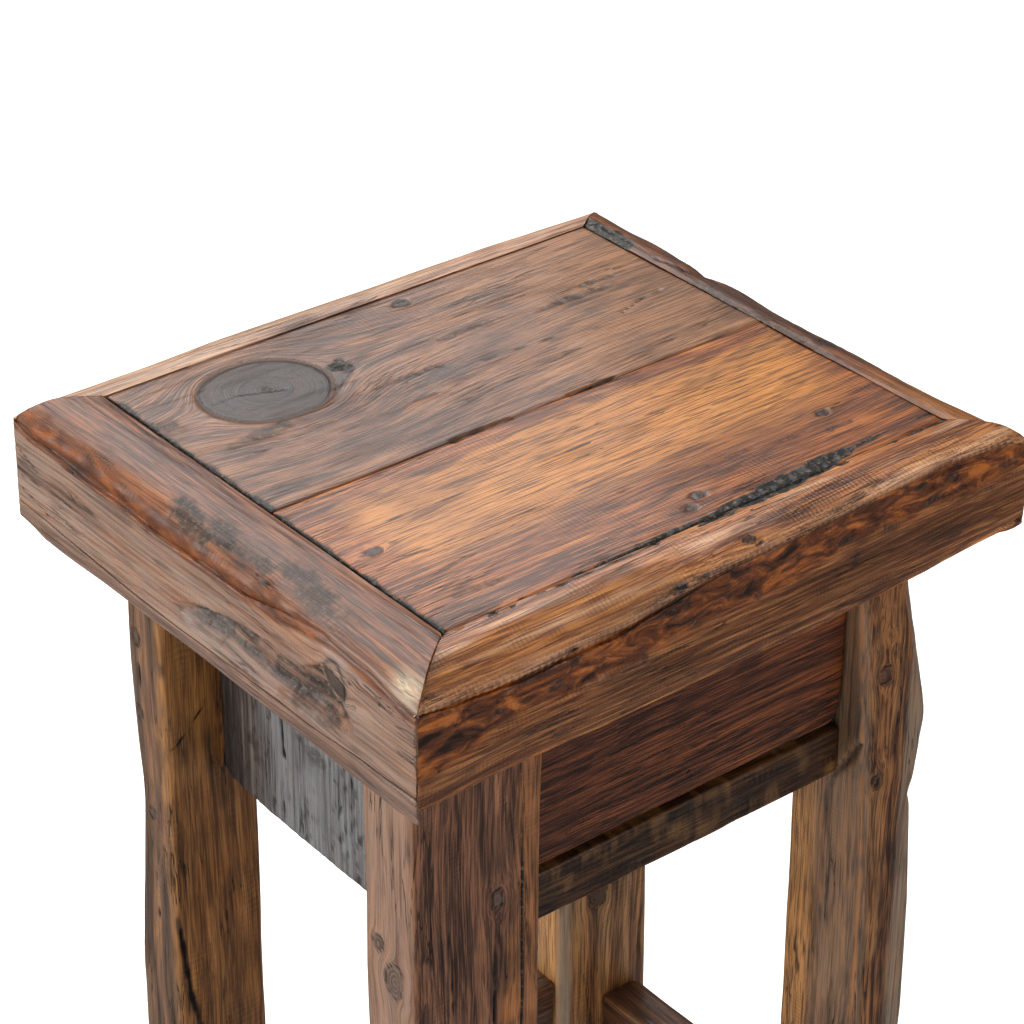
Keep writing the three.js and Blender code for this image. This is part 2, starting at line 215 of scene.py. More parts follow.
def carve(piece, axis, pith, seed, knots=(), cracks=(), wane=1.0, tool=0.12, wear=1.0, masks=None):
    """Gives a timber its surface: slow waves, tool marks, knots and cracks, and its grain and marks.

    axis is the way of the grain. pith is where the tree's heart lay, across the other two axes.
    A knot is a point on the surface and a radius. A crack is a path, a width and a depth.
    masks holds further marks: bark, live (live edge), pale (worn light wood, and on the front rail a
    painted highlight), grey (weathered wood, and on some left-facing sides a painted sheen) and stain
    (dark marks, and with bark a painted shade in the left rail's hollow).
    """
    points = points_of(piece)
    normals = normals_of(piece)
    masks = dict(masks or {})
    one, other = [index for index in range(3) if index != axis]
    wave, fibres, smudge = np.full(3, WAVE[1]), np.full(3, TOOL_MARK[1]), np.full(3, SMUDGE[1])
    wave[axis], fibres[axis], smudge[axis] = WAVE[0], TOOL_MARK[0], SMUDGE[0]
    flow = np.stack([points[:, one], points[:, other]], axis=1)
    flow += (noise(points, wave, seed) * 3 + noise(points, wave / 4, seed + 1) * 0.9)[:, None]
    knot = np.zeros(len(points))
    sink = np.zeros(len(points))
    rims = np.zeros(len(points))
    for place, radius in knots:
        place = np.array(place, float)
        heart = place[[one, other]]
        away = points - place
        away[:, axis] *= 0.72 if radius < BIG_KNOT else 0.92
        unevenness = radius * (0.08 if radius > BIG_KNOT else 0.3)
        distance = np.linalg.norm(away, axis=1) + noise(points, radius * 0.9, seed + 2) * unevenness
        # The grain parts round a knot as water parts round a post
        passing = 1 - (radius / np.maximum(distance, radius)) ** 2
        flow = heart + (flow - heart) * passing[:, None]
        inside = ease_in(distance, radius * 1.03, radius * 0.95)
        flow += (inside * distance * 1.6)[:, None]
        knot = np.maximum(knot, inside)
        rim = np.exp(-(((distance - radius) / max(0.7, radius * 0.05)) ** 2))
        rims = np.maximum(rims, rim * (0.35 if radius > BIG_KNOT else 0.75))
        sink += inside * 0.2 + rim * min(0.8, 0.35 + radius * 0.02)
    ring = np.hypot(flow[:, 0] - pith[0], flow[:, 1] - pith[1])
    crack = np.zeros(len(points))
    wander = noise(points, 9, seed + 3) * 0.9 + noise(points, 3, seed + 4) * 0.5
    for path, width, depth in cracks:
        distance = np.abs(along_path(points, path) + wander * min(1.0, width * 0.5))
        inside = np.exp(-((distance / width) ** 2))
        crack = np.maximum(crack, inside)
        sink += inside * depth
    crack = np.maximum(crack, rims)
    rough = masks.get("bark", np.zeros(len(points)))
    sink += rough * (0.5 + 0.5 * noise(points, 3.6, seed + 5) + 0.3 * noise(points, 1.8, seed + 6))
    live = masks.get("live", np.zeros(len(points)))
    sink += live * (0.3 * noise(points, 11, seed + 7) + 0.14 * noise(points, 4.5, seed + 8))
    edge = ease_in(np.abs(normals).max(axis=1), 0.97, 0.84)
    edge *= ease_in(noise(points, (9, 9, 9), seed + 12), -0.7, 0.3)
    waves = noise(points, wave * 0.5, seed + 9) * wane + noise(points, wave * 0.16, seed + 10) * wane * 0.3
    waves += noise(points, fibres, seed + 11) * tool
    moved = points + normals * (waves - sink)[:, None]
    move_points(piece, np.clip(moved, np.array(cad_box[0]) / MM, np.array(cad_box[1]) / MM))
    grain = np.stack([points[:, axis], ring, flow[:, 1]], axis=1) * MM
    fibre = np.stack([points[:, axis], flow[:, 0], flow[:, 1]], axis=1) * MM
    empty = np.zeros(len(points))
    marks = np.stack([knot, crack, rough], axis=1)
    tints = np.stack([live, masks.get("pale", empty), masks.get("grey", empty)], axis=1)
    smudges = noise(points, smudge, seed + 13) + 0.4 * noise(points, smudge / 3, seed + 14)
    stain = np.maximum(masks.get("stain", empty), 0.5 * ease_in(smudges, 0.3, 0.8))
    # worn carries worn edges and the stain mask, which in the left rail's hollow is painted shade.
    worn = np.stack([edge * wear, stain, empty], axis=1)
    for name, values in {"grain": grain, "fibre": fibre, "marks": marks, "tints": tints,
                         "worn": worn}.items():
        attribute = piece.data.attributes.new(name, "FLOAT_VECTOR", "POINT")
        attribute.data.foreach_set("vector", values.astype(np.float32).ravel())


def add(tree, kind, inputs, output=0, **settings):
    """Adds a node with its settings, and gives back one output. An input is a value or a socket."""
    made = tree.nodes.new("ShaderNode" + kind)
    for key, value in settings.items():
        setattr(made, key, value)
    for key, value in inputs.items():
        if isinstance(value, bpy.types.NodeSocket):
            tree.links.new(value, made.inputs[key])
        else:
            made.inputs[key].default_value = value
    return made.outputs[output]


# Noise fields of stained wood: what they follow, cycles per metre along and across the grain,
# octaves, roughness and warp. Real fibres are about 0.03 mm, too fine to show, so they are drawn
# as streaks of 0.9 mm.
WOOD_NOISES = {
    "bands": ("grain", (8, 230, 40), 6, 0.7, 0.4),
    "fibres": ("fibre", (32, 1150, 1150), 2, 0.55, 0),
    "streaks": ("fibre", (9, 430, 430), 5, 0.7, 0),
    "checks": ("fibre", (11, 210, 210), 3, 0.6, 0.3),
    "check_where": ("fibre", (14, 45, 45), 2, 0.5, 0),
    "ripple_where": ("grain", (22, 60, 60), 3, 0.6, 0),
    "burl": ("fibre", (40, 115, 115), 7, 0.68, 0.9),
    "blotches": ("place", (16, 16, 16), 4, 0.6, 0),
    "grit": ("place", (420, 420, 420), 3, 0.6, 0),
}
# Metres between the crests of a wave texture whose scale is 1
CREST_GAP = 0.314


def varnished_wood(name, dark, mid, light, ring_mm=2.6, rings=0.5, streaks=0.45, ripple=0.3, ripple_mm=2.8,
                   blotch=0.5, blotch_colour="4a3028", gloss=0.36, knot="2a211d", knot_rings="40322b",
                   pale="d8924a", live="a4561a", live_mid="5a2c12", live_dark="1c0f08", grey="8a7f78"):
    """Stained softwood under semi-gloss varnish: rings, fibres, saw ripple, cracks and bark."""
    material = bpy.data.materials.new(name)
    material.use_nodes = True
    tree = material.node_tree
    shader = tree.nodes["Principled BSDF"]
    at = {"place": add(tree, "TexCoord", {}, "Object")}
    for key in ("grain", "fibre", "marks", "tints", "worn"):
        at[key] = add(tree, "Attribute", {}, "Vector", attribute_name=key)
    in_knot, crack, bark = add(tree, "SeparateXYZ", {0: at["marks"]}).node.outputs
    in_live, in_pale, in_grey = add(tree, "SeparateXYZ", {0: at["tints"]}).node.outputs
    in_edge, in_stain, _ = add(tree, "SeparateXYZ", {0: at["worn"]}).node.outputs
    for key, (follows, scale, octaves, roughness, warp) in WOOD_NOISES.items():
        stretched = add(tree, "Mapping", {"Vector": at[follows], "Scale": scale})
        at[key] = add(tree, "TexNoise", {"Vector": stretched, "Scale": 1, "Detail": octaves,
                                         "Roughness": roughness, "Distortion": warp})
    across = add(tree, "Mapping", {"Vector": at["grain"], "Rotation": (0, 0, math.pi / 2),
                                   "Scale": (0.05, 1, 1)})
    rings_inputs = {"Vector": across, "Scale": CREST_GAP / (ring_mm * MM), "Distortion": 2.2,
                    "Detail": 3, "Detail Scale": 0.6}
    ripple_inputs = {"Vector": at["grain"], "Scale": CREST_GAP / (ripple_mm * MM), "Distortion": 3.5,
                     "Detail": 3, "Detail Scale": 1.5}
    at["rings"] = add(tree, "TexWave", rings_inputs, wave_profile="SAW")
    at["ripple"] = add(tree, "TexWave", ripple_inputs)
    at.update(knot=in_knot, live=in_live, pale=in_pale, grey=in_grey, edge=in_edge, stain=in_stain,
              crack=crack, bark=bark)

    # How much of each effect there is: what it comes from, the range it comes in over, and its amount
    amounts = {
        "to_mid": ("bands", 0.4, 0.52, 0, 1),
        "to_light": ("bands", 0.52, 0.66, 0, 1),
        "ring_dark": ("rings", 0.55, 1, 0, rings),
        "pale_share": ("bands", 0.3, 0.62, 0.55, 1),
        "streak_dark": ("streaks", 0.5, 0.62, 0, streaks),
        "fibre_shade": ("fibres", 0.51, 0.6, 0, streaks),
        "fibre_dark": ("fibres", 0.53, 0.62, 0, streaks * 0.8),
        "fibre_light": ("fibres", 0.47, 0.38, 0, streaks),
        "blotch": ("blotches", 0.5, 0.7, 0, blotch),
        "ripple_share": ("ripple_where", 0.5, 0.66, 0, ripple),
        "grey_share": ("streaks", 0.4, 0.62, 1, 0.35),
        "edge_share": ("streaks", 0.62, 0.42, 0.1, 0.75),
        "stain_share": ("streaks", 0.4, 0.58, 0.45, 1),
        "line_low": ("checks", 0.482, 0.496, 0, 1),
        "line_high": ("checks", 0.518, 0.504, 0, 1),
        "line_share": ("check_where", 0.56, 0.62, 0, 0.8),
        "burl_mid": ("burl", 0.36, 0.5, 0, 1),
        "burl_light": ("burl", 0.5, 0.64, 0, 1),
        "knot_ring": ("rings", 0.3, 1, 0, 1),
        "knot_share": ("streaks", 0.35, 0.7, 0.96, 0.72),
        "grit_light": ("grit", 0.52, 0.72, 0, 1),
        "bark_and_shade_share": ("bark", 0.25, 0.7, 0, 1),
        "crack_share": ("crack", 0.15, 0.75, 0, 1),
        "polish": ("fibres", 0.3, 0.7, gloss - 0.06, gloss + 0.1),
    }
    for key, (source, low, high, to_low, to_high) in amounts.items():
        limits = {"Value": at[source], "From Min": low, "From Max": high, "To Min": to_low,
                  "To Max": to_high}
        at[key] = add(tree, "MapRange", limits)
    products = [("pale", "pale_share"), ("ripple", "ripple_share"), ("grey", "grey_share"),
                ("edge", "edge_share"), ("line_low", "line_high"), ("line_low", "line_share"),
                ("knot", "knot_share"), ("stain", "stain_share"), ("grit", "bark")]
    for key, share in products:
        at[key] = add(tree, "Math", {0: at[key], 1: at[share]}, operation="MULTIPLY")

    # Colours laid over each other: how much, the colour, and how it is laid on
    at["rotten"] = add(tree, "Mix", {0: at["burl_mid"], 6: linear(live_dark), 7: linear(live_mid)}, 2,
                       data_type="RGBA")
    at["burl"] = add(tree, "Mix", {0: at["burl_light"], 6: at["rotten"], 7: linear(live)}, 2,
                     data_type="RGBA")
    at["heart"] = add(tree, "Mix", {0: at["knot_ring"], 6: linear(knot), 7: linear(knot_rings)}, 2,
                      data_type="RGBA")
    at["rind"] = add(tree, "Mix", {0: at["grit_light"], 6: linear("161413"), 7: linear("75644f")}, 2,
                     data_type="RGBA")
    # The stain and rind layers also paint shade in the left rail's hollow; pale and grey paint sheen on
    # some pieces.
    layers = [
        ("to_mid", linear(mid), "MIX"), ("to_light", linear(light), "MIX"),
        ("ring_dark", linear(dark), "MIX"), ("pale", linear(pale), "MIX"),
        ("streak_dark", linear(dark), "MIX"), ("fibre_shade", linear(dark), "MULTIPLY"),
        ("fibre_dark", linear(dark), "MIX"), ("fibre_light", linear(light), "MIX"),
        ("blotch", linear(blotch_colour), "MIX"), ("ripple", linear(dark), "MULTIPLY"),
        ("grey", linear(grey), "MIX"), ("edge", linear(light), "MIX"),
        ("line_low", linear("140b07"), "MIX"), ("live", at["burl"], "MIX"),
        ("stain", linear("1b120d"), "MIX"), ("knot", at["heart"], "MIX"),
        ("bark_and_shade_share", at["rind"], "MIX"), ("crack_share", linear("0b0807"), "MIX"),
    ]
    colour = linear(dark)
    for key, over, blend in layers:
        colour = add(tree, "Mix", {0: at[key], 6: colour, 7: over}, 2, data_type="RGBA", blend_type=blend)
    tree.links.new(colour, shader.inputs["Base Color"])

    roughness = add(tree, "Mix", {0: at["stain"], 2: at["polish"], 3: 0.55})
    roughness = add(tree, "Mix", {0: at["bark"], 2: roughness, 3: 0.75})
    tree.links.new(roughness, shader.inputs["Roughness"])
    shader.inputs["IOR"].default_value = 1.5
    shader.inputs["Specular IOR Level"].default_value = 0.42
    shader.inputs["Coat Weight"].default_value = 0.25
    shader.inputs["Coat Roughness"].default_value = 0.16

    height = 0.0
    for key, share in [("fibres", 0.5), ("streaks", 0.8), ("ripple", -0.9), ("grit", 2.5),
                       ("line_low", -1.2)]:
        height = add(tree, "Math", {0: at[key], 1: share, 2: height}, operation="MULTIPLY_ADD")
    bump = add(tree, "Bump", {"Height": height, "Strength": 0.7, "Distance": 0.0006})
    tree.links.new(bump, shader.inputs["Normal"])
    return material


def node_box(name):
    """Lowest and highest corner of a CAD node, in millimetres."""
    low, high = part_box(name)
    return np.array(low) / MM, np.array(high) / MM


BOARD_CELL = 1.4
BOARD_EASE = 0.6
SEAM_CLOSE = 0.25
LEFT_SEAM_GAP = 1.2

low, high = node_box("seat_board_back")
low += (LEFT_SEAM_GAP, -SEAM_CLOSE, 0)
high += (SEAM_CLOSE, SEAM_CLOSE, 0)
back_board = blank("seat_board_back_worn", low, high, BOARD_EASE)
even_quads(back_board, BOARD_CELL)
at = points_of(back_board)
x, y, z = at.T
top = high[2]
seam_y = low[1]
smudges = np.zeros(len(at))
for spot, length, width in [((-112, 67), 26, 7), ((-153, 103), 10, 9), ((108, 85), 26, 4),
                            ((128, 93), 24, 3), ((35, 92), 30, 3), ((-20, 70), 36, 3)]:
    reach = np.hypot((x - spot[0]) / length, (y - spot[1]) / width)
    smudges = np.maximum(smudges, ease_in(reach + 0.5 * noise(at, 6, 31), 1.1, 0.4) * 0.55)
# A dark rough band along the left seam.
dark_seam_band = 0.75 * ease_in(x - low[0] + 2.0 * noise(at, (9, 9, 9), 32), 3.6, 1.2)
pit = ease_in(np.hypot(x + 43, y - 102) + noise(at, 4, 30) * 3, 9, 4)
carve(
    back_board, axis=0, pith=(70, 640), seed=40,
    knots=[((-88, 104, top), 33), ((27, 140, top), 3.5)],
    cracks=[
        ([(-45, seam_y, top), (-7, seam_y, top)], 1.3, 3),
        ([(33, seam_y, top), (64, seam_y, top)], 1.3, 3),
        ([(116, 55, top), (136, 61, top), (150, 62, top)], 0.6, 1.2),
        ([(-103, 108, top), (-80, 99, top)], 0.6, 0.8), ([(-60, 46, top), (-20, 47, top)], 0.5, 0.6),
        ([(20, 60, top), (75, 56, top)], 0.4, 0.5),
    ],
    wane=0.5, wear=0,
    masks={"bark": strongest(pit, smudges * (z > top - 4), dark_seam_band), "pale": 0.6 * ease_in(x, 0, 130)},
)
# Brown-stained softwood: swirling grain round a dark grey knot with a tan rim.
back_board.data.materials.append(
    varnished_wood("varnished_softwood_brown", dark="4a2d1e", mid="805238", light="b47c50", pale="bc8456",
                   ring_mm=3.0, rings=0.4, blotch=0.55, blotch_colour="462b20", ripple=0.12,
                   knot="15100e", knot_rings="261e1a")
)

low, high = node_box("seat_board_front")
low += (LEFT_SEAM_GAP, -SEAM_CLOSE, 0)
high += (SEAM_CLOSE, SEAM_CLOSE, 0)
front_board = blank("seat_board_front_worn", low, high, BOARD_EASE)
even_quads(front_board, BOARD_CELL)
at = points_of(front_board)
x, y, z = at.T
edge = y + noise(at, (60, 14, 14), 51) * 5 + noise(at, (14, 5, 5), 52) * 2
golden = ease_in(edge, -10, -17) * ease_in(edge, -104, -66) * ease_in(x, -142, -122)
golden *= ease_in(x - 0.35 * y, 190, 160)
streak_y = np.interp(x, [-70, 0, 40, 70, 125], [-139, -139, -139, -136, -131])
streak_wide = np.interp(x, [-75, -60, 0, 50, 90, 130], [0.2, 1.5, 3.0, 8.0, 5.5, 0.2])
bark = ease_in(np.abs(y - streak_y) + noise(at, 7, 53) * 2.2, streak_wide + 1, streak_wide - 1)
# A dark rough band along the left seam.
dark_seam_band = 0.75 * ease_in(x - low[0] + 2.0 * noise(at, (9, 9, 9), 55), 3.6, 1.2)
scuffs = np.zeros(len(at))
for spot, length, width in [((-120, -118), 22, 3), ((92, -105), 16, 3), ((60, -100), 22, 2.5),
                            ((120, -112), 14, 3)]:
    reach = np.hypot((x - spot[0]) / length, (y - spot[1]) / width)
    scuffs = np.maximum(scuffs, ease_in(reach + 0.5 * noise(at, 5, 54), 1.1, 0.4) * 0.5)
carve(
    front_board, axis=0, pith=(-60, 560), seed=60,
    knots=[((-142, -61, top), 3.2), ((17, -119, top), 3), ((6, -126, top), 2.2), ((124, -96, top), 2.5)],
    cracks=[
        ([(-45, high[1], top), (-7, high[1], top)], 1.3, 3),
        ([(33, high[1], top), (64, high[1], top)], 1.3, 3),
        ([(-130, -42, top), (-60, -45, top), (10, -44, top)], 0.4, 0.4),
    ],
    wane=0.6, wear=0,
    masks={"pale": golden, "bark": strongest(bark * (z > top - 6), scuffs * (z > top - 6), dark_seam_band)},
)
# Golden-orange softwood: fine lengthwise lines, brighter where the stain is worn off.
front_board.data.materials.append(
    varnished_wood("varnished_softwood_golden", dark="5e2f13", mid="9d5628", light="cb7b35",
                   pale="e09648", ring_mm=2.4, rings=0.45, streaks=0.6, blotch=0.35,
                   blotch_colour="6a3c26", ripple=0.15)
)
for piece, node_name in [(back_board, "seat_board_back"), (front_board, "seat_board_front")]:
    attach(piece, "root")
    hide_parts(node_name)

# Seat rails: four thick boards with natural edges, mitred round the seat boards and splined at the
# corners. A ledge inside carries the boards. Their tops fall away to the outer edge, and the left
# one, on a thin packing strip, still has its live edge and a hollow where a branch came out.

SEAM_GAP = 0.3
LEDGE = 12
board_low, board_high = node_box("seat_board_back")
SEAM_X = (board_low[0] - SEAM_GAP, board_high[0] + SEAM_GAP)
SEAM_BACK = board_high[1] + SEAM_GAP
SEAM_FRONT = node_box("seat_board_front")[0][1] - SEAM_GAP
BOARD_TOP = board_high[2]
LEDGE_TOP = board_low[2]
SEAT_TOP = node_box("seat_rail_front")[1][2]
outer_low, outer_high = node_box("seat_rail_front")
OUT_X = (outer_low[0], outer_high[0])
OUT_Y = (outer_low[1], node_box("seat_rail_back")[1][1])


def select_faces(piece, wanted):
    """Selects the faces whose centre in millimetres and normal pass the test, and returns to edit mode."""
    bpy.ops.mesh.select_all(action="DESELECT")
    bpy.ops.object.mode_set(mode="OBJECT")
    for face in piece.data.polygons:
        face.select = wanted(face.center / MM, face.normal)
    bpy.ops.object.mode_set(mode="EDIT")


def mitred_blank(name, side, low_z, high_z, cell):
    """A board between two mitres, with the ledge inside, from low_z to high_z."""
    across = 0 if side in ("left", "right") else 1
    outward = -1 if side in ("left", "front") else 1
    seam = {"left": SEAM_X[0], "right": SEAM_X[1], "front": SEAM_FRONT, "back": SEAM_BACK}[side]
    outer = (OUT_X if across == 0 else OUT_Y)[0 if outward < 0 else 1]
    low = np.array([OUT_X[0], OUT_Y[0], low_z], float)
    high = np.array([OUT_X[1], OUT_Y[1], high_z], float)
    low[across], high[across] = sorted((seam, outer))
    bpy.ops.object.select_all(action="DESELECT")
    bpy.ops.mesh.primitive_cube_add(size=1, location=(low + high) / 2 * MM, scale=(high - low) * MM)
    piece = bpy.context.object
    piece.name = name
    piece.data.name = name
    bpy.ops.object.transform_apply(location=True, rotation=False, scale=True)
    bpy.ops.object.mode_set(mode="EDIT")
    bpy.ops.mesh.select_all(action="SELECT")
    if high_z > LEDGE_TOP:
        bpy.ops.mesh.bisect(plane_co=(0, 0, LEDGE_TOP * MM), plane_no=(0, 0, 1))
    select_faces(piece, lambda at, normal: normal[across] * outward < -0.9 and at[2] < LEDGE_TOP)
    inward = [0, 0, 0]
    inward[across] = -outward * LEDGE * MM
    bpy.ops.mesh.extrude_region_move(TRANSFORM_OT_translate={"value": inward})
    for end in (0, 1):
        corner = [SEAM_X[end], SEAM_FRONT] if side == "front" else [SEAM_X[end], SEAM_BACK]
        if across == 0:
            corner = [seam, (SEAM_FRONT, SEAM_BACK)[end]]
        tip = [OUT_X[end], outer] if across == 1 else [outer, OUT_Y[end]]
        line = Vector((tip[0] - corner[0], tip[1] - corner[1], 0)).normalized()
        away = Vector((line.y, -line.x, 0))
        along = 1 - across
        if away[along] * (1 if end else -1) < 0:
            away = -away
        bpy.ops.mesh.select_all(action="SELECT")
        start = Vector((corner[0], corner[1], 0)) - away * 0.05
        bpy.ops.mesh.bisect(plane_co=start * MM, plane_no=away, use_fill=True, clear_outer=True)
    bpy.ops.mesh.select_all(action="SELECT")
    bpy.ops.mesh.bevel(offset=0.5 * MM, segments=2, affect="EDGES")
    bpy.ops.object.mode_set(mode="OBJECT")
    even_quads(piece, cell)
    return piece


# How far the top has fallen at the outer edge, along each rail, and how late it starts to fall
TOP_FALL = {
    "left": {"at": (-175, -118, -100, -70, -36, 57, 103, 160, 175),
             "fall": (13, 6, 4, 9, 15, 16, 16, 13, 10), "late": (2.2, 4, 5, 5, 5, 5, 5, 4, 2.5)},
    "front": {"at": (-203, -190, -137, -69, -6, 60, 140, 184, 203),
              "fall": (13, 15, 20, 18, 9, 6, 2, 5, 14), "late": (2.2, 1.7, 1.6, 1.6, 1.8, 2, 2, 2, 2.5)},
    "right": {"at": (-175, -150, -96, -4, 69, 140, 175), "fall": (14, 19, 24, 24, 18, 17, 17),
              "late": (2.5, 2.4, 2.3, 2.2, 2.2, 2.3, 2.5)},
    "back": {"at": (-203, -120, 0, 120, 203), "fall": (10, 9, 8, 11, 17),
             "late": (2.5, 2.6, 2.6, 2.6, 2.5)},
}
# Outline of each outer face below its top edge: height, and how far it stands back
FACE_BACK = {
    "left": ((676, 680, 690, 715, 730, 745), (2.0, 0.4, 0.2, 0.0, 0.4, 3.0)),
    "front": ((676, 680, 690, 700, 712, 722, 735, 745), (6.0, 2.4, 0.5, 0.2, 1.8, 1.6, 2.4, 3.5)),
    "right": ((676, 680, 690, 715, 728, 745), (5.0, 2.0, 0.3, 0.0, 1.5, 5.0)),
    "back": ((676, 680, 690, 715, 735, 745), (3.0, 1.0, 0.2, 0.0, 1.0, 3.0)),
}
# Radius of each outer corner: left or right, and front or back
CORNER_ROUND = {(0, 0): 3, (0, 1): 5, (1, 0): 9, (1, 1): 26}
# How high the tops bulge between seam and edge, for each millimetre that they stand above the boards
CROWN = 1.7


def shape_rail(piece, side, seed):
    """Gives a rail its fallen top, its outer face, its rounded bottom edge and its corners."""
    points = points_of(piece)
    across = 0 if side in ("left", "right") else 1
    outward = -1 if side in ("left", "front") else 1
    seam = {"left": SEAM_X[0], "right": SEAM_X[1], "front": SEAM_FRONT, "back": SEAM_BACK}[side]
    outer = (OUT_X if across == 0 else OUT_Y)[0 if outward < 0 else 1]
    share = np.clip((points[:, across] - seam) / (outer - seam), 0, 1)
    along = points[:, 1 - across]
    table = TOP_FALL[side]
    fall = np.interp(along, table["at"], table["fall"])
    late = np.interp(along, table["at"], table["late"])
    first, last = OUT_Y if across == 0 else OUT_X
    ends = np.minimum(along - first, last - along)
    calm = ease_in(ends, 12, 50)
    fall += calm * noise(points * [1, 1, 0], 38, seed) * min(3.0, fall.mean() * 0.15)
    crown = CROWN * (SEAT_TOP - BOARD_TOP) * share * (1 - share)
    top = BOARD_TOP + crown - fall * share ** late
    heights, back = FACE_BACK[side]
    stand_back = np.interp(points[:, 2], heights, back)
    stand_back += calm * (0.9 + 0.9 * noise(points, (45, 45, 16), seed + 1))
    if side == "front":
        stand_back += 5 * ease_in(along, 120, 203) * ease_in(points[:, 2], 700, 678)
    face = outer - outward * stand_back
    limit = np.minimum(outward * points[:, across], outward * face)
    points[:, across] = outward * limit
    points[:, 2] = np.minimum(points[:, 2], top)
    rise = 0
    if side == "front":
        rise = np.interp(along, (-203, 60, 120, 203), (1, 1, 5, 12))
    if side == "right":
        rise = np.interp(along, (-175, -130, -60, 175), (12, 6, 2, 2))
    bottom = points[:, 2].min() + rise * share ** 3 + 4 * share ** 14
    points[:, 2] = np.maximum(points[:, 2], bottom * (side != "left"))
    for (end_x, end_y), radius in CORNER_ROUND.items():
        way = np.array([1 if end_x else -1, 1 if end_y else -1])
        centre = np.array([OUT_X[end_x], OUT_Y[end_y]]) - way * radius
        beyond = (points[:, :2] - centre) * way
        outside = (beyond > 0).all(axis=1)
        length = np.hypot(beyond[:, 0], beyond[:, 1])
        pull = np.where(outside & (length > radius), radius / np.maximum(length, 1e-6), 1)
        points[:, :2] = centre + (points[:, :2] - centre) * pull[:, None]
    move_points(piece, points)


def seam_height(y):
    """Height of the long seam between the left rail and its packing strip."""
    return np.interp(y, (-175, -130, -88, 22, 77, 130, 152, 175), (689, 687, 684, 683, 683, 686, 688, 689))


RAIL_CELL = 1.5
OUTER_LEFT = OUT_X[0]
OUTER_FRONT = OUT_Y[0]

left_low = node_box("seat_rail_left")[0][2]
left_rail = mitred_blank("seat_rail_left_live_edge", "left", left_low, SEAT_TOP, RAIL_CELL)
at = points_of(left_rail)
x, y, z = at.T
lift = ease_in(z, 715, left_low)
z += lift * (seam_height(y) + 0.5 - left_low)
move_points(left_rail, at)
shape_rail(left_rail, "left", 70)
at = points_of(left_rail)
x, y, z = at.T
side_face = ease_in(x, OUTER_LEFT + 6, OUTER_LEFT + 3)
upper = np.interp(y, (-125, -112, -100, -91, -80, -65, -48, -27, -5, 26),
                  (706, 716, 725, 719, 713, 712, 714, 712, 708, 697))
lower = np.interp(y, (-125, -92, -59, -25, 10, 26), (700, 693, 691, 693, 694, 695))
hollow = ease_in(z, upper + 1.5, upper - 2.5) * ease_in(z, lower - 7, lower + 6)
hollow *= ease_in(y, -128, -108) * ease_in(y, 30, 4) * side_face
x += hollow * (8.5 + 2.0 * noise(at, (9, 14, 2.6), 71))
lip = np.exp(-(((z - upper - 5) / 5) ** 2)) * ease_in(y, -105, -90) * ease_in(y, 40, 5) * side_face
hump = np.exp(-(np.hypot((y + 111) / 11, (z - 722) / 15) ** 2)) * side_face
x += lip * 0.6 - hump * 1.6 * (z < 735)
x[:] = np.maximum(x, OUTER_LEFT + 0.3)
move_points(left_rail, at)
on_top = ease_in(normals_of(left_rail)[:, 2], 0.45, 0.7) * (z > 715)
edge_line = np.interp(y, (-175, -150, -118, -100, -60, -20, 20, 60, 120, 175),
                      (0.93, 0.925, 0.92, 0.91, 0.89, 0.87, 0.86, 0.83, 0.77, 0.73))
outness = (SEAM_X[0] - x) / (SEAM_X[0] - OUTER_LEFT) + 0.02 * noise(at, 10, 72)
lip_line = np.interp(y, (-166, -118, -100, -70, -36, 57, 103, 174),
                     (731, 736, 737, 732, 729, 729, 729, 732))
live = ease_in(outness, edge_line - 0.02, edge_line + 0.03)
live *= ease_in(z + noise(at, 12, 73), lip_line - 1, lip_line + 1)
# Bark and dirt on top, inside the live edge: middle, length, width, angle and amount of each spot
BARK_SPOTS = [
    ((-192, 22), 26, 7, 0.15, 0.9), ((-188, -2), 18, 7, 0.2, 0.8), ((-190, -36), 18, 5, 0, 0.8),
    ((-183, -57), 20, 9, 0.1, 0.75), ((-188, -80), 22, 10, 0.1, 0.8), ((-187, -104), 14, 7, 0.2, 0.5),
    ((-190, 60), 16, 4, 0, 0.35),
]
rough = np.zeros(len(at))
for spot, length, width, angle, amount in BARK_SPOTS:
    near = at[:, :2] - spot
    reach = np.hypot((near[:, 1] + near[:, 0] * angle) / length, (near[:, 0] - near[:, 1] * angle) / width)
    reach = reach + 0.4 * noise(at, 6, 74) + 0.3 * noise(at, 2.2, 69)
    rough = np.maximum(rough, ease_in(reach, 1.2, 0.45) * amount)
# The hollow under the lip: its torn fibres are darkened as painted shade of the undercut.
frayed = ease_in(z, upper + 1.5, upper - 2) * ease_in(z, lower - 12, lower + 3)
frayed *= ease_in(y, -124, -106) * ease_in(y, 36, 4) * side_face
strands = ease_in(noise(at, (6, 22, 2.2), 75) + 0.4 * noise(at, (6, 6, 6), 79), -0.35, 0.2)
torn_fibres_and_hollow_shade = frayed * (0.45 + 0.5 * strands)
black_ring = np.exp(-(((np.hypot((y + 111) / 7.5, (z - 720) / 11) - 1.15) / 0.16) ** 2)) * side_face
end_checks = ease_in(y, 140, 172) * ease_in(noise(at, (8, 16, 2.0), 76), 0.15, 0.45)
end_checks = end_checks * side_face * (z < 722)
worn = np.exp(-(np.hypot((x + 196) / 8, (y + 160) / 12) ** 2) * 1.4) * (z > 733)
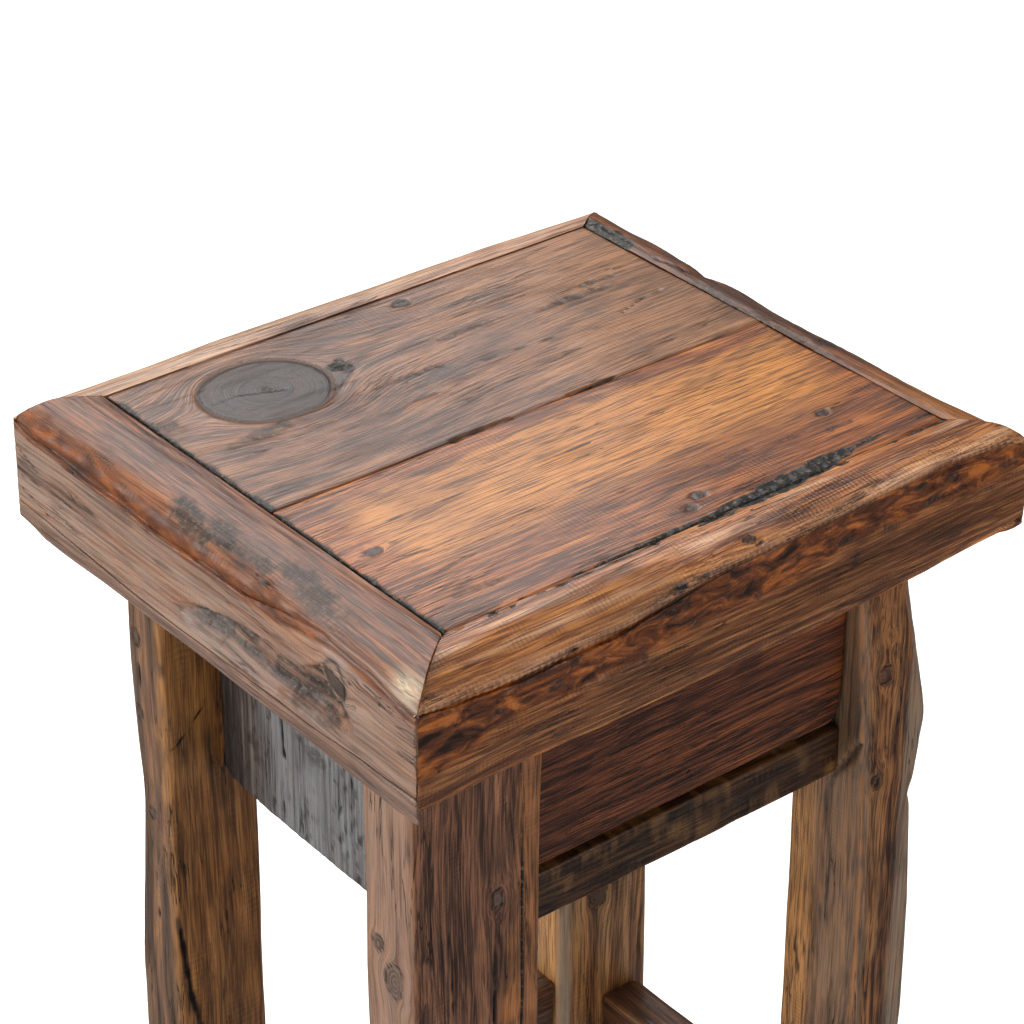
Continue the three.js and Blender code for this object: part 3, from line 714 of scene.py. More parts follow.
carve(
    left_rail, axis=1, pith=(-300, 700), seed=80, wear=0.3,
    knots=[((OUTER_LEFT, -111, 720), 7)],
    cracks=[
        ([(-198, -37, 741), (-193, -60, 743), (-187, -80, 744)], 0.9, 1.8),
        ([(-201, -105, 742), (-186, -106, 745), (-166, -104, 746)], 0.5, 0.7),
        ([(OUTER_LEFT, -110, 709), (OUTER_LEFT, -108, 696), (OUTER_LEFT, -110, 684)], 1.1, 2.0),
        ([(OUTER_LEFT, 170, 722), (OUTER_LEFT, 150, 714)], 0.6, 1.0),
        ([(OUTER_LEFT, 168, 706), (OUTER_LEFT, 130, 709)], 0.6, 1.0),
        ([(OUTER_LEFT, 175, 700), (OUTER_LEFT, 140, 692)], 0.5, 1.0),
        ([(OUTER_LEFT, 120, 712), (OUTER_LEFT, 60, 708)], 0.4, 0.6),
        ([(OUTER_LEFT, 60, 697), (OUTER_LEFT, 20, 695)], 0.4, 0.6),
    ],
    wane=0.35, tool=0.2,
    masks={
        # In the hollow, the bark and stain masks paint the undercut's shade over the torn fibres.
        "live": live, "bark": strongest(0.62 * rough * on_top, 0.56 * torn_fibres_and_hollow_shade, 0.5 * black_ring),
        "stain": strongest(0.75 * rough * on_top, 0.85 * end_checks, 0.95 * torn_fibres_and_hollow_shade, 0.8 * black_ring),
        "pale": worn,
        # grey on the outer face: taupe weathered wood, lightened as a painted sheen of the light from the
        # left.
        "grey": np.maximum(side_face * (1 - live) * (0.75 + 0.25 * noise(at, (30, 60, 14), 77)),
                           0.5 * rough * on_top),
    },
)
# Stained beam with its live edge: orange-brown rim, taupe sawn face under a painted sheen, dark torn
# hollow deepened by painted shade.
left_rail.data.materials.append(
    varnished_wood("varnished_live_edge_timber", dark="472411", mid="7e4520", light="ab652b",
                   grey="978070", pale="ecdcba", live="8c4c1c", live_mid="693816", live_dark="44230f",
                   ring_mm=2.8, rings=0.35, streaks=0.4, ripple=0.2, blotch=0.6, blotch_colour="352219")
)

strip_low, strip_high = node_box("seat_packing_strip")
strip = mitred_blank("seat_packing_strip_worn", "left", strip_low[2], strip_high[2], RAIL_CELL)
at = points_of(strip)
x, y, z = at.T
stretch = np.clip((z - strip_low[2]) / (strip_high[2] - strip_low[2]), 0, 1)
hang = ease_in(x, SEAM_X[0], OUTER_LEFT) * (2.0 + 1.2 * noise(at * [0, 1, 0], 60, 78))
z[:] = strip_low[2] - hang * (1 - stretch) + stretch * (seam_height(y) - 0.4 - strip_low[2])
end_round = ease_in(y, 150, 172) * ease_in(stretch, 1, 0)
z += end_round * 5 * ease_in(x, -180, OUTER_LEFT)
move_points(strip, at)
shape_rail(strip, "left", 70)
at = points_of(strip)
x, y, z = at.T
carve(strip, axis=1, pith=(-240, 640), seed=90, wear=0.3, wane=0.25, tool=0.2,
      cracks=[([(OUTER_LEFT, -168, 686), (OUTER_LEFT, -120, 684)], 0.5, 0.5)],
      masks={"grey": 0.55 * ease_in(x, OUTER_LEFT + 6, OUTER_LEFT + 3),
             "pale": 0.4 * ease_in(noise(at, (20, 40, 20), 91), 0, 0.6)})
# Thin sawn strip: lighter tan than the rail, with close straight grain.
strip.data.materials.append(
    varnished_wood("varnished_sawn_strip", dark="4b3226", mid="7e5842", light="a37a5c", grey="826c60",
                   pale="b08a66", ring_mm=2.0, rings=0.4, streaks=0.4, ripple=0.2, blotch=0.4)
)

front_rail = mitred_blank("seat_rail_front_worn", "front", node_box("seat_rail_front")[0][2], SEAT_TOP,
                          RAIL_CELL)
shape_rail(front_rail, "front", 100)
at = points_of(front_rail)
x, y, z = at.T
fall = np.interp(x, TOP_FALL["front"]["at"], TOP_FALL["front"]["fall"])
ridge_z = BOARD_TOP - 0.85 * fall
below = ridge_z - z
front_side = ease_in(y, OUTER_FRONT + 9, OUTER_FRONT + 4)
band_low = np.interp(x, (-203, -186, -142, -93, -30, 36, 105, 162, 203),
                     (697, 700, 709, 708, 714, 716, 722, 722, 722))
burl = ease_in(z + 3 * noise(at, 14, 101), band_low - 3, band_low + 3)
burl = burl * ease_in(below, -1.0, 3.0) * front_side
y += burl * (1.0 + 1.0 * noise(at, (18, 12, 8), 102) + 0.6 * noise(at, 5, 103))
# The ridge band: chatter marks are cut into it, and it carries a painted whitish highlight.
ridge_band = np.exp(-(((below - 0.5) / 4.5) ** 2)) * ease_in(y, OUTER_FRONT + 16, OUTER_FRONT + 8)
chatter = np.sin((x * 0.86 + y * 0.5 + z * 0.3 + 2 * noise(at, 25, 104)) * 2 * math.pi / 3.6)
z -= ridge_band * (0.4 + 0.4 * chatter) * ease_in(noise(at, (30, 30, 30), 105), -0.5, 0.1)
move_points(front_rail, at)
# Pits in the front face: x, z, width and height of each
PITS = [
    (-118, 715, 7, 5), (-106, 724, 6, 4), (-62, 709, 4, 3), (-43, 727, 9, 4), (-30, 717, 6, 3),
    (10, 716, 5, 3), (70, 724, 7, 3), (78, 713, 4, 3), (124, 735, 5, 3), (133, 725, 9, 3),
    (147, 733, 5, 3), (170, 719, 8, 4), (-92, 716, 4, 3), (-150, 716, 5, 2), (36, 728, 6, 2),
    (100, 722, 5, 2), (186, 728, 8, 4), (60, 735, 8, 2),
]
pits = np.zeros(len(at))
for pit_x, pit_z, wide, tall in PITS:
    reach = np.hypot((x - pit_x) / wide, (z - pit_z) / tall) + 0.6 * noise(at, 3.5, 106)
    pits = np.maximum(pits, ease_in(reach, 1.2, 0.5) * front_side)
bark_line = ease_in(np.abs(y - (SEAM_FRONT - 1)) + noise(at, 6, 107) * 2,
                    np.interp(x, (-60, 0, 45, 85, 120), (0.1, 1.2, 5, 2, 0.1)), 0)
bark_line *= (z > BOARD_TOP - 6)
frayed = ease_in(noise(at, (22, 6, 5), 108), 0.1, 0.4) * burl * 0.3
carve(
    front_rail, axis=0, pith=(-260, 560), seed=110, wear=0.3,
    knots=[((11, -164, 745), 2.4)],
    cracks=[([(-190, OUTER_FRONT, 700), (-150, OUTER_FRONT, 704), (-120, OUTER_FRONT, 702)], 0.5, 0.7),
            ([(-26, -170, 739), (-21, -170, 739)], 1.8, 1.4),
            ([(-43, -168, 738), (-34, -169, 738)], 1.7, 1.2),
            ([(-44, -173, 735), (-38, -173, 736)], 1.5, 1.2),
            ([(-108, -171, 730), (-103, -171, 730)], 1.6, 1.2),
            ([(13, -168, 743), (17, -167, 743)], 1.4, 1.2),
            ([(60, OUTER_FRONT, 700), (110, OUTER_FRONT, 703)], 0.5, 0.5)],
    wane=0.4, tool=0.22,
    masks={"live": burl, "bark": strongest(pits * 0.5, bark_line, frayed * 0.5),
           "grey": 0.75 * front_side * ease_in(band_low - z + 3 * noise(at, (20, 9, 6), 112), -2, 8),
           # pale: streaks on top and the ridge band in whitish pink, a painted highlight of the varnish's
           # sheen over lighter grain and chatter marks.
           "pale": np.maximum(0.7 * ease_in(z, 736, 741) * ease_in(noise(at, (60, 4, 4), 109), -0.1, 0.5),
                            0.75 * ridge_band * (0.55 + 0.45 * chatter))},
)
# Stained natural edge: bright orange grain on top, a painted whitish highlight along the ridge, glossy
# burl below, dark brown underneath.
front_rail.data.materials.append(
    varnished_wood("varnished_natural_edge_timber", dark="6b3a1e", mid="b56b38", light="f2a65e",
                   pale="f6cba8", live="c06a20", live_mid="743b17", live_dark="2c170b", grey="42230f",
                   ring_mm=2.8, rings=0.65, streaks=0.4, ripple=0.35, ripple_mm=2.6, blotch=0.35,
                   blotch_colour="6a4028", gloss=0.3)
)

right_rail = mitred_blank("seat_rail_right_worn", "right", node_box("seat_rail_right")[0][2], SEAT_TOP,
                          RAIL_CELL)
shape_rail(right_rail, "right", 120)
at = points_of(right_rail)
x, y, z = at.T
notch = np.exp(-(np.hypot((x - 203) / 16, (y - 66) / 8) ** 2))
z -= notch * 6 * (z > 715)
move_points(right_rail, at)
top_side = z > 722
rough = ease_in(np.hypot((x - 172) / 9, (y - 136) / 26) + 0.4 * noise(at, 6, 121), 1.15, 0.6)
dark_band = ease_in(x + 4 * noise(at, (9, 24, 9), 122), 178, 170)
dark_band = dark_band * ease_in(y, -90, -50) * ease_in(y, 80, 50) * 0.55
outer_band = ease_in(np.abs(x - 188) + 4 * noise(at, (8, 30, 8), 123), 9, 4)
outer_band = outer_band * ease_in(y, -110, -80) * ease_in(y, 150, 80) * 0.4
carve(
    right_rail, axis=1, pith=(330, 600), seed=130, wear=0.3,
    knots=[((181, -40, 745), 4), ((203, 40, 705), 8), ((203, -90, 712), 6)],
    cracks=[([(192, 64, 741), (184, 66, 743), (176, 72, 746)], 1.0, 2),
            ([(186, -60, 742), (190, -120, 738)], 0.6, 0.9),
            ([(172, 96, 747), (180, 60, 746), (184, 20, 744)], 0.7, 0.9),
            ([(203, 150, 700), (203, 60, 706)], 0.6, 0.8)],
    wane=0.5, tool=0.2,
    masks={"bark": strongest(rough, dark_band, outer_band) * top_side,
           "pale": ease_in(y, -60, -110) * top_side, "grey": 0.4 * (1 - top_side)},
)
# Worn dark rail: black bark at the back corner, orange where it is rubbed in front.
right_rail.data.materials.append(
    varnished_wood("varnished_dark_timber", dark="452716", mid="77442a", light="a3622f", pale="b5702f",
                   grey="6d574b", ring_mm=2.8, rings=0.4, ripple=0.2, blotch_colour="3a2620")
)

back_rail = mitred_blank("seat_rail_back_worn", "back", node_box("seat_rail_back")[0][2], SEAT_TOP,
                         RAIL_CELL)
shape_rail(back_rail, "back", 140)
at = points_of(back_rail)
x, y, z = at.T
carve(
    back_rail, axis=0, pith=(300, 610), seed=150, wear=0.3,
    knots=[((-60, 175, 712), 7), ((110, 175, 700), 5)],
    cracks=[([(-195, 160, 747), (-120, 158, 748), (-40, 160, 748)], 0.6, 0.9),
            ([(-140, 175, 704), (-20, 175, 708)], 0.6, 0.9),
            ([(40, 175, 696), (150, 175, 699)], 0.5, 0.7)],
    wane=0.5, tool=0.22, masks={"pale": 0.7 * ease_in(noise(at, (50, 8, 8), 151), -0.3, 0.4) * (z > 725),
                                "grey": 0.35 * (z < 735)},
)
# Narrow planed rail: pale tan, close-grained, a little pink.
back_rail.data.materials.append(
    varnished_wood("varnished_pale_timber", dark="86604b", mid="c99675", light="ecb992", pale="e6bd97",
                   grey="78645a", ring_mm=2.2, rings=0.35, streaks=0.4, ripple=0.35, ripple_mm=2.2,
                   blotch=0.35)
)
for piece, node_name in [(left_rail, "seat_rail_left"), (strip, "seat_packing_strip"),
                         (front_rail, "seat_rail_front"), (right_rail, "seat_rail_right"),
                         (back_rail, "seat_rail_back")]:
    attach(piece, "root")
    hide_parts(node_name)

# Legs: four posts sawn from the outside of old beams, no two alike, so that each keeps one wany,
# weathered side and one sawn side. They are stained and varnished, with knots and drying cracks.

LEG_CELL = 2.1


def lean(points, axis, side, heights, shifts):
    """Moves one side of a post in or out, by a shift in millimetres at each height."""
    low, high = points[:, axis].min(), points[:, axis].max()
    share = (points[:, axis] - low) / (high - low)
    share = share if side > 0 else 1 - share
    points[:, axis] += share * np.interp(points[:, 2], heights, shifts)


def cut_corner(points, way, heights, reach):
    """Takes a post's corner off. way points out of it, and reach is how far it may stand out."""
    way = np.array(way, float) / np.hypot(*way)
    out = points[:, :2] @ way - np.interp(points[:, 2], heights, reach)
    points[:, :2] -= np.maximum(out, 0)[:, None] * way * 0.96


leg = {}
for place, ease in {"front_left": 4, "front_right": 3, "back_left": 5, "back_right": 4}.items():
    low, high = node_box("leg_" + place)
    leg[place] = blank("leg_" + place + "_wany", low, high, ease)
    even_quads(leg[place], LEG_CELL)

at = points_of(leg["front_left"])
x, y, z = at.T
lean(at, 0, -1, (0, 120, 300, 420, 520, 560, 676), (2, 0, 1, 1, 0, 1, 0))
lean(at, 1, -1, (0, 200, 380, 500, 600, 676), (2, 0.5, 2, 0, 1.5, 0))
cut_corner(at, (1, -1), (0, 300, 500, 676), (126 - 85) / math.sqrt(2) - np.array([3, 2.5, 3, 2.5]))
groove = np.exp(-(((x + 98 + 1.5 * noise(at, (9, 9, 60), 201)) / 1.1) ** 2)) * ease_in(y, -118, -122)
y += groove * 2.6
move_points(leg["front_left"], at)
left_side = ease_in(-normals_of(leg["front_left"])[:, 0], 0.5, 0.85)
orange = ease_in(np.hypot((x + 106) / 8, (z - 498) / 34) + 0.4 * noise(at, (5, 5, 16), 202), 1.1, 0.4)
orange = np.maximum(orange, ease_in(x + 3 * noise(at, (9, 9, 40), 203), -106, -100) * 0.6)
carve(
    leg["front_left"], axis=2, pith=(-70, -30), seed=210,
    knots=[((-169, -96, 540), 4), ((-169, -110, 524), 7.5), ((-115, -126, 560), 4.5),
           ((-128, -126, 300), 7), ((-169, -100, 210), 6), ((-85, -100, 420), 6)],
    cracks=[([(-169, -99, 640), (-169, -97, 590), (-169, -96, 546)], 0.7, 1.4),
            ([(-148, -126, 620), (-146, -126, 560), (-141, -126, 470), (-144, -126, 400)], 0.8, 1.6),
            ([(-118, -126, 640), (-115, -126, 562)], 0.8, 1.6),
            ([(-115, -126, 556), (-117, -126, 505), (-114, -126, 440)], 0.8, 1.6),
            ([(-169, -112, 300), (-169, -108, 120)], 0.8, 1.6),
            ([(-130, -126, 240), (-134, -126, 60)], 0.8, 1.6),
            ([(-98, -83, 400), (-104, -83, 250)], 0.8, 1.6)],
    wane=0.8, tool=0.25,
    # The pinkish grey of the left side is weathered wood under a painted sheen from the light on the left.
    masks={"grey": left_side * 0.8, "pale": orange * (1 - left_side) * (y < -112), "bark": groove * 0.9},
)
# Red-brown post: pinkish-grey left side, weathered and with a painted sheen, dark streaks and an orange
# sapwood stripe.
leg["front_left"].data.materials.append(
    varnished_wood("varnished_red_brown_timber", dark="44291c", mid="7d5139", light="a86f48",
                   grey="957966", pale="c67b34", ring_mm=4.5, rings=0.35, ripple=0.15, ripple_mm=3.0,
                   blotch_colour="38231a", knot="4a3a34", knot_rings="75604f")
)

at = points_of(leg["front_right"])
x, y, z = at.T
lean(at, 0, -1, (0, 230, 420, 600, 676), (3.5, 3.5, 1.5, 0, 0))
front_left_part = ease_in(x, 176, 150)
lean_back = np.interp(z, (0, 430, 576, 634, 676), (0, 0, 8, 14, 15)) * front_left_part
y += lean_back * ease_in(y, -92, -120)
front_corner = (194 + 126) / math.sqrt(2)
cut_corner(at, (1, -1), (0, 335, 413, 487, 513, 544, 560, 592, 629, 676),
           front_corner - np.array([5, 4, 5, 8, 7, 4, 7, 13, 20, 22]))
cut_corner(at, (-1, -1), (0, 676), (-16, -16))
pock = np.exp(-(np.hypot((x - 189) / 5, (z - 490) / 9) ** 2)) * ease_in(y, -108, -114)
y += pock * 6
x -= pock * 3
gouge = np.exp(-((along_path(at, [(146, -97, 503), (146, -108, 519), (146, -118, 537)]) / 2.2) ** 2))
x += gouge * 2.4
move_points(leg["front_right"], at)
facing = normals_of(leg["front_right"])
left_side = ease_in(-facing[:, 0], 0.6, 0.9)
weathered = ease_in(x - y, 180 + 118, 186 + 118)
weathered = np.maximum(weathered * ease_in(y, -90, -100), ease_in(facing[:, 0], 0.5, 0.8))
strip_ridge = np.exp(-(((x - np.interp(z, (0, 230, 420, 600, 676), (153.5, 153.5, 151, 149, 149)))
                        / 2.6) ** 2)) * ease_in(y, -104, -110)
carve(
    leg["front_right"], axis=2, pith=(230, -40), seed=230,
    knots=[((161, -120, 579), 4), ((165, -118, 604), 3), ((156, -126, 511), 4.5), ((172, -126, 250), 7),
           ((194, -95, 380), 6), ((150, -95, 160), 5)],
    cracks=[([(182, -124, 486), (184, -122, 440), (186, -122, 395)], 0.9, 1.8),
            ([(170, -124, 470), (167, -126, 380)], 0.6, 1.0),
            ([(168, -126, 320), (172, -126, 120)], 0.7, 1.4),
            ([(194, -100, 300), (194, -90, 120)], 0.7, 1.4)],
    wane=0.6, tool=0.28,
    masks={"grey": strongest(left_side * 0.55 * ease_in(y + 6 * noise(at, (8, 8, 40), 231), -84, -98),
                             weathered * 0.9, strip_ridge * 0.6),
           "pale": np.maximum(left_side * ease_in(y, -94, -84),
                              0.4 * ease_in(noise(at, (7, 7, 40), 232), 0.2, 0.5)),
           "bark": np.maximum(pock, gouge * 0.7)},
)
# Orange-brown post: upright streaks, a tan back edge and a grey weathered corner.
leg["front_right"].data.materials.append(
    varnished_wood("varnished_orange_brown_timber", dark="402414", mid="85522b", light="b8773c",
                   grey="94806c", pale="c48c50", ring_mm=3.6, rings=0.5, streaks=0.5, ripple=0.2,
                   ripple_mm=3.0, blotch_colour="32201a", knot="3a261c", knot_rings="6a4a34")
)

at = points_of(leg["back_left"])
x, y, z = at.T
lean(at, 1, 1, (0, 200, 348, 430, 504, 568, 621, 676), (6, 7, 7, 1.5, -4, -2, -1, -1))
lean(at, 0, -1, (0, 200, 400, 520, 600, 676), (2, 3, 0, 1.5, 0, 0))
cut_corner(at, (-1, 1), (0, 200, 430, 504, 621, 676),
           (169 + 130) / math.sqrt(2) - np.array([2, -3, 0, 3, 2.5, 2.5]))
move_points(leg["back_left"], at)
facing = normals_of(leg["back_left"])
left_side = ease_in(-facing[:, 0], 0.45, 0.8)
carve(
    leg["back_left"], axis=2, pith=(-250, 60), seed=250,
    knots=[((-169, 119, 615), 3.5), ((-169, 120, 566), 3), ((-169, 115, 500), 3.2), ((-140, 97, 260), 7),
           ((-140, 130, 420), 8), ((-169, 112, 240), 6)],
    cracks=[([(-169, 119, 608), (-169, 116, 570)], 0.6, 1.2),
            ([(-169, 115, 494), (-169, 113, 430)], 0.7, 1.4),
            ([(-141, 97, 574), (-152, 97, 560), (-166, 97, 549)], 0.6, 0.8),
            ([(-169, 97, 450), (-164, 97, 420), (-160, 97, 380), (-152, 97, 340)], 1.6, 1.4),
            ([(-140, 130, 560), (-144, 130, 440)], 0.8, 1.6),
            ([(-125, 97, 200), (-128, 97, 60)], 0.8, 1.6)],
    wane=0.8, tool=0.28,
    masks={"grey": left_side * (0.8 + 0.2 * noise(at, (10, 10, 60), 251)),
           "pale": 0.45 * ease_in(noise(at, (12, 12, 70), 252), 0.0, 0.5) * (1 - left_side),
           "stain": 0.75 * left_side * ease_in(noise(at, (4, 4, 70), 253), 0.0, 0.4)},
)
# Golden-brown post: calm even face with saw marks, and a dark grey wany side.
leg["back_left"].data.materials.append(
    varnished_wood("varnished_golden_timber", dark="66401f", mid="976230", light="bf8445", grey="615046",
                   pale="c98f4e", ring_mm=6.0, rings=0.4, streaks=0.35, ripple=0.25, ripple_mm=4.2,
                   blotch=0.45, blotch_colour="432b14", knot="3a2c24", knot_rings="5f4a3a")
)

at = points_of(leg["back_right"])
x, y, z = at.T
lean(at, 0, 1, (0, 200, 400, 520, 676), (-3, 0, -4, -1, 0))
lean(at, 1, 1, (0, 250, 450, 676), (-1, -3, 0, -2))
move_points(leg["back_right"], at)
facing = normals_of(leg["back_right"])
grey_strip = ease_in(x + 1.5 * noise(at, (8, 8, 60), 271), 130, 127) * ease_in(-facing[:, 1], 0.3, 0.7)
bands = ease_in(np.sin((x + 3 * noise(at, (20, 20, 140), 272)) * 2 * math.pi / 19), -0.2, 0.5)
carve(
    leg["back_right"], axis=2, pith=(90, 60), seed=270,
    knots=[((184, 103, 470), 5), ((150, 103, 300), 7), ((150, 136, 500), 8), ((194, 120, 250), 6)],
    cracks=[([(178, 103, 420), (170, 103, 380)], 0.6, 1.0),
            ([(150, 136, 480), (154, 136, 330)], 0.8, 1.6),
            ([(194, 118, 600), (194, 114, 420)], 0.8, 1.6), ([(140, 103, 240), (142, 103, 80)], 0.7, 1.4)],
    wane=0.7, tool=0.25,
    masks={"grey": np.maximum(grey_strip * 0.9, 0.6 * ease_in(facing[:, 0], 0.5, 0.8)),
           "pale": 0.8 * bands},
)
# Tan post: upright bands of light and dark, with a grey strip at one edge.
leg["back_right"].data.materials.append(
    varnished_wood("varnished_tan_timber", dark="54341e", mid="875934", light="b88049", grey="a8967f",
                   pale="c8945a", ring_mm=4.0, rings=0.4, ripple=0.25, ripple_mm=4.4, blotch=0.4,
                   knot="3c2a1e", knot_rings="664a35")
)
for place, piece in leg.items():
    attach(piece, "root")
    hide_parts("leg_" + place)

# Aprons: rough-sawn boards between the tops of the legs, tenoned into them. The front has two, a
# deep one above and a narrow one below, a few millimetres apart. The left one is grey with age and
# a painted sheen.

TENON_SEEN = 0.6
AXIS_OF = {"left": 1, "right": 1, "back": 0, "front_upper": 0, "front_lower": 0}
LEGS_OF = {
    "left": ("front_left", "back_left"), "right": ("front_right", "back_right"),
    "back": ("back_left", "back_right"), "front_upper": ("front_left", "front_right"),
    "front_lower": ("front_left", "front_right"),
}


def between_legs(name, node_name, legs, axis, ease, cell):
    """A blank as deep and thick as the CAD node, from one leg's face to the other's."""
    low, high = node_box(node_name)
    low[axis] = node_box("leg_" + legs[0])[1][axis] - TENON_SEEN
    high[axis] = node_box("leg_" + legs[1])[0][axis] + TENON_SEEN
    piece = blank(name, low, high, ease)
    even_quads(piece, cell)
    return piece


apron = {}
for name, legs in LEGS_OF.items():
    apron[name] = between_legs("apron_" + name + "_sawn", "apron_" + name, legs, AXIS_OF[name], 1.5, 2.0)

at = points_of(apron["left"])
x, y, z = at.T
z += ease_in(z, 560, 520) * np.interp(y, (-83, -27, 60, 90, 97), (0, -1.5, 1, 3, 9))
z[:] = np.maximum(z, 516.5)
move_points(apron["left"], at)
slanted = at + at[:, [2]] * [0, 0.35, 0]
grooves = ease_in(noise(slanted, (4, 2.4, 9), 301) + 0.35 * noise(at, (20, 30, 30), 302), 0.34, 0.6)
soot = ease_in(np.hypot((y - 8) / 12, (z - 584) / 16) + 0.5 * noise(at, 7, 303), 1.1, 0.3)
carve(
    apron["left"], axis=2, pith=(-60, 20), seed=310, wane=0.4, tool=0.3,
    cracks=[([(-131, 40, 590), (-131, 38, 565)], 1.4, 1.2),
            ([(-131, -20, 600), (-131, -24, 575)], 0.8, 1.0)],
    # grey: weathered wood, lighter towards the front where it is a painted blue-grey sheen.
    masks={"grey": (0.25 + 0.65 * ease_in(y + 14 * noise(at, (20, 18, 50), 304), 72, 40)),
           "bark": 0.5 * soot, "stain": np.maximum(0.9 * grooves, 0.7 * ease_in(y, 55, 80))},
)
# Old board, slate grey with a painted blue-grey sheen and glossy, almost black at the back, full of short
# grooves.
apron["left"].data.materials.append(
    varnished_wood("varnished_weathered_board_painted_sheen", dark="1d1613", mid="443730", light="7c6c60",
                   grey="7a7a7a", ring_mm=5, rings=0.3, streaks=0.25, ripple=0.1, blotch=0.5,
                   blotch_colour="241a15", gloss=0.28)
)

at = points_of(apron["front_upper"])
x, y, z = at.T
z[:] = np.maximum(z, 547 + 14 * ease_in(x, 128, 146) ** 2 - 4 * ease_in(x, 40, 133))
x[:] = np.minimum(x, 146 - 3.0 * ease_in(z, 580, 552))
move_points(apron["front_upper"], at)
carve(
    apron["front_upper"], axis=0, pith=(-60, 780), seed=320, wane=0.25, tool=0.3,
    cracks=[([(33, -103, 562), (35, -103, 556)], 1.0, 0.8)], knots=[((-30, -83, 610), 6)],
)
# Deep red-brown board: regular dark ring lines, nearly matt.
apron["front_upper"].data.materials.append(
    varnished_wood("varnished_red_brown_board", dark="331305", mid="70330b", light="984f17", ring_mm=3.2,
                   rings=0.6, ripple=0.15, blotch=0.3, blotch_colour="4c230a", gloss=0.5, knot="331b0e",
                   knot_rings="55321c")
)

at = points_of(apron["front_lower"])
saw = ease_in(noise(at, (3.5, 20, 26), 331), 0.05, 0.5)
patches = ease_in(noise(at, (12, 12, 12), 332) + 0.5 * noise(at, (3, 9, 20), 333), 0.0, 0.7)
carve(apron["front_lower"], axis=0, pith=(-70, 470), seed=330, wane=0.3, tool=0.3,
      masks={"bark": 0.3 * saw, "pale": 0.9 * patches})
# Narrow dark board: tan patches between dark saw marks across the grain.
apron["front_lower"].data.materials.append(
    varnished_wood("varnished_mottled_board", dark="26140a", mid="4a2c16", light="70481f", pale="8e6232",
                   ring_mm=4, rings=0.3, streaks=0.4, ripple=0.5, ripple_mm=4.0, blotch=0.4,
                   blotch_colour="1e110a")
)

carve(apron["right"], axis=1, pith=(90, 760), seed=340, wane=0.4, tool=0.3,
      knots=[((178, 20, 600), 8), ((178, -40, 560), 5)],
      cracks=[([(178, 60, 640), (178, -30, 636)], 0.6, 1.0)])
# Dark brown sawn board, less handled than the front ones.
apron["right"].data.materials.append(
    varnished_wood("varnished_dark_brown_board", dark="301b0f", mid="57341e", light="7c4f2d", ring_mm=3.4,
                   ripple=0.25, ripple_mm=3.6, blotch=0.4, blotch_colour="2c190f", knot="291a12",
                   knot_rings="4a3223")
)
carve(apron["back"], axis=0, pith=(60, 770), seed=350, wane=0.4, tool=0.3,
      knots=[((30, 124, 590), 9), ((-70, 124, 640), 5)],
      cracks=[([(-60, 124, 560), (50, 124, 566)], 0.6, 1.0)])
# Dark brown sawn board, a shade lighter, with two knots.
apron["back"].data.materials.append(
    varnished_wood("varnished_brown_board", dark="301b10", mid="5a3721", light="815432", ring_mm=3.6,
                   ripple=0.25, ripple_mm=3.6, blotch=0.4, blotch_colour="301c12", knot="291a12",
                   knot_rings="4a3223")
)
for name, piece in apron.items():
    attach(piece, "root")
    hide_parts("apron_" + name)

# Footrest and stretchers: four rails low between the legs, tenoned into them. The footrest in front
# is the thickest, and its top edge is worn round and pale where feet rest on it.

rest = between_legs("footrest_front_worn", "footrest_front", ("front_left", "front_right"), 0, 5, 2.0)
at = points_of(rest)
x, y, z = at.T
rest_top = z.max()
worn = np.exp(-(((x - 20) / 75) ** 2)) * ease_in(z, rest_top - 26, rest_top - 4)
z -= worn * 4.5 * ease_in(y, -92, -118)
y += worn * 3.0 * ease_in(y, -112, -123)
move_points(rest, at)
carve(
    rest, axis=0, pith=(-60, 200), seed=410, wane=0.6, tool=0.25,
    knots=[((-40, -123, 276), 7), ((96, -123, 268), 5), ((40, -87, 280), 7)],
    cracks=[([(-70, -123, 262), (10, -123, 258)], 0.7, 1.2),
            ([(20, -110, 305), (90, -108, 305)], 0.6, 0.8)],
    masks={"pale": worn * ease_in(noise(at, (16, 6, 6), 411), -0.9, -0.1)},
)
# Brown footrest: stain rubbed down to pale wood along the middle of its top edge.
rest.data.materials.append(
    varnished_wood("worn_varnished_timber", dark="3a2213", mid="68401f", light="935f34", pale="b58a5c",
                   ring_mm=3.4, ripple=0.2, blotch=0.4, blotch_colour="38211a", knot="2e1e14",
                   knot_rings="523a29")
)
STRETCHERS = {
    "left": (("front_left", "back_left"), 1, (-100, 120), [((-156, 20, 196), 6)],
             [([(-156, -50, 180), (-156, 40, 184)], 0.6, 1.0)]),
    "right": (("front_right", "back_right"), 1, (110, 120), [((185, -10, 186), 7)],
              [([(185, 30, 200), (185, 90, 196)], 0.6, 1.0)]),
    "back": (("back_left", "back_right"), 0, (70, 160), [((20, 127, 220), 7)],
             [([(-60, 127, 206), (0, 127, 204)], 0.6, 1.0)]),
}
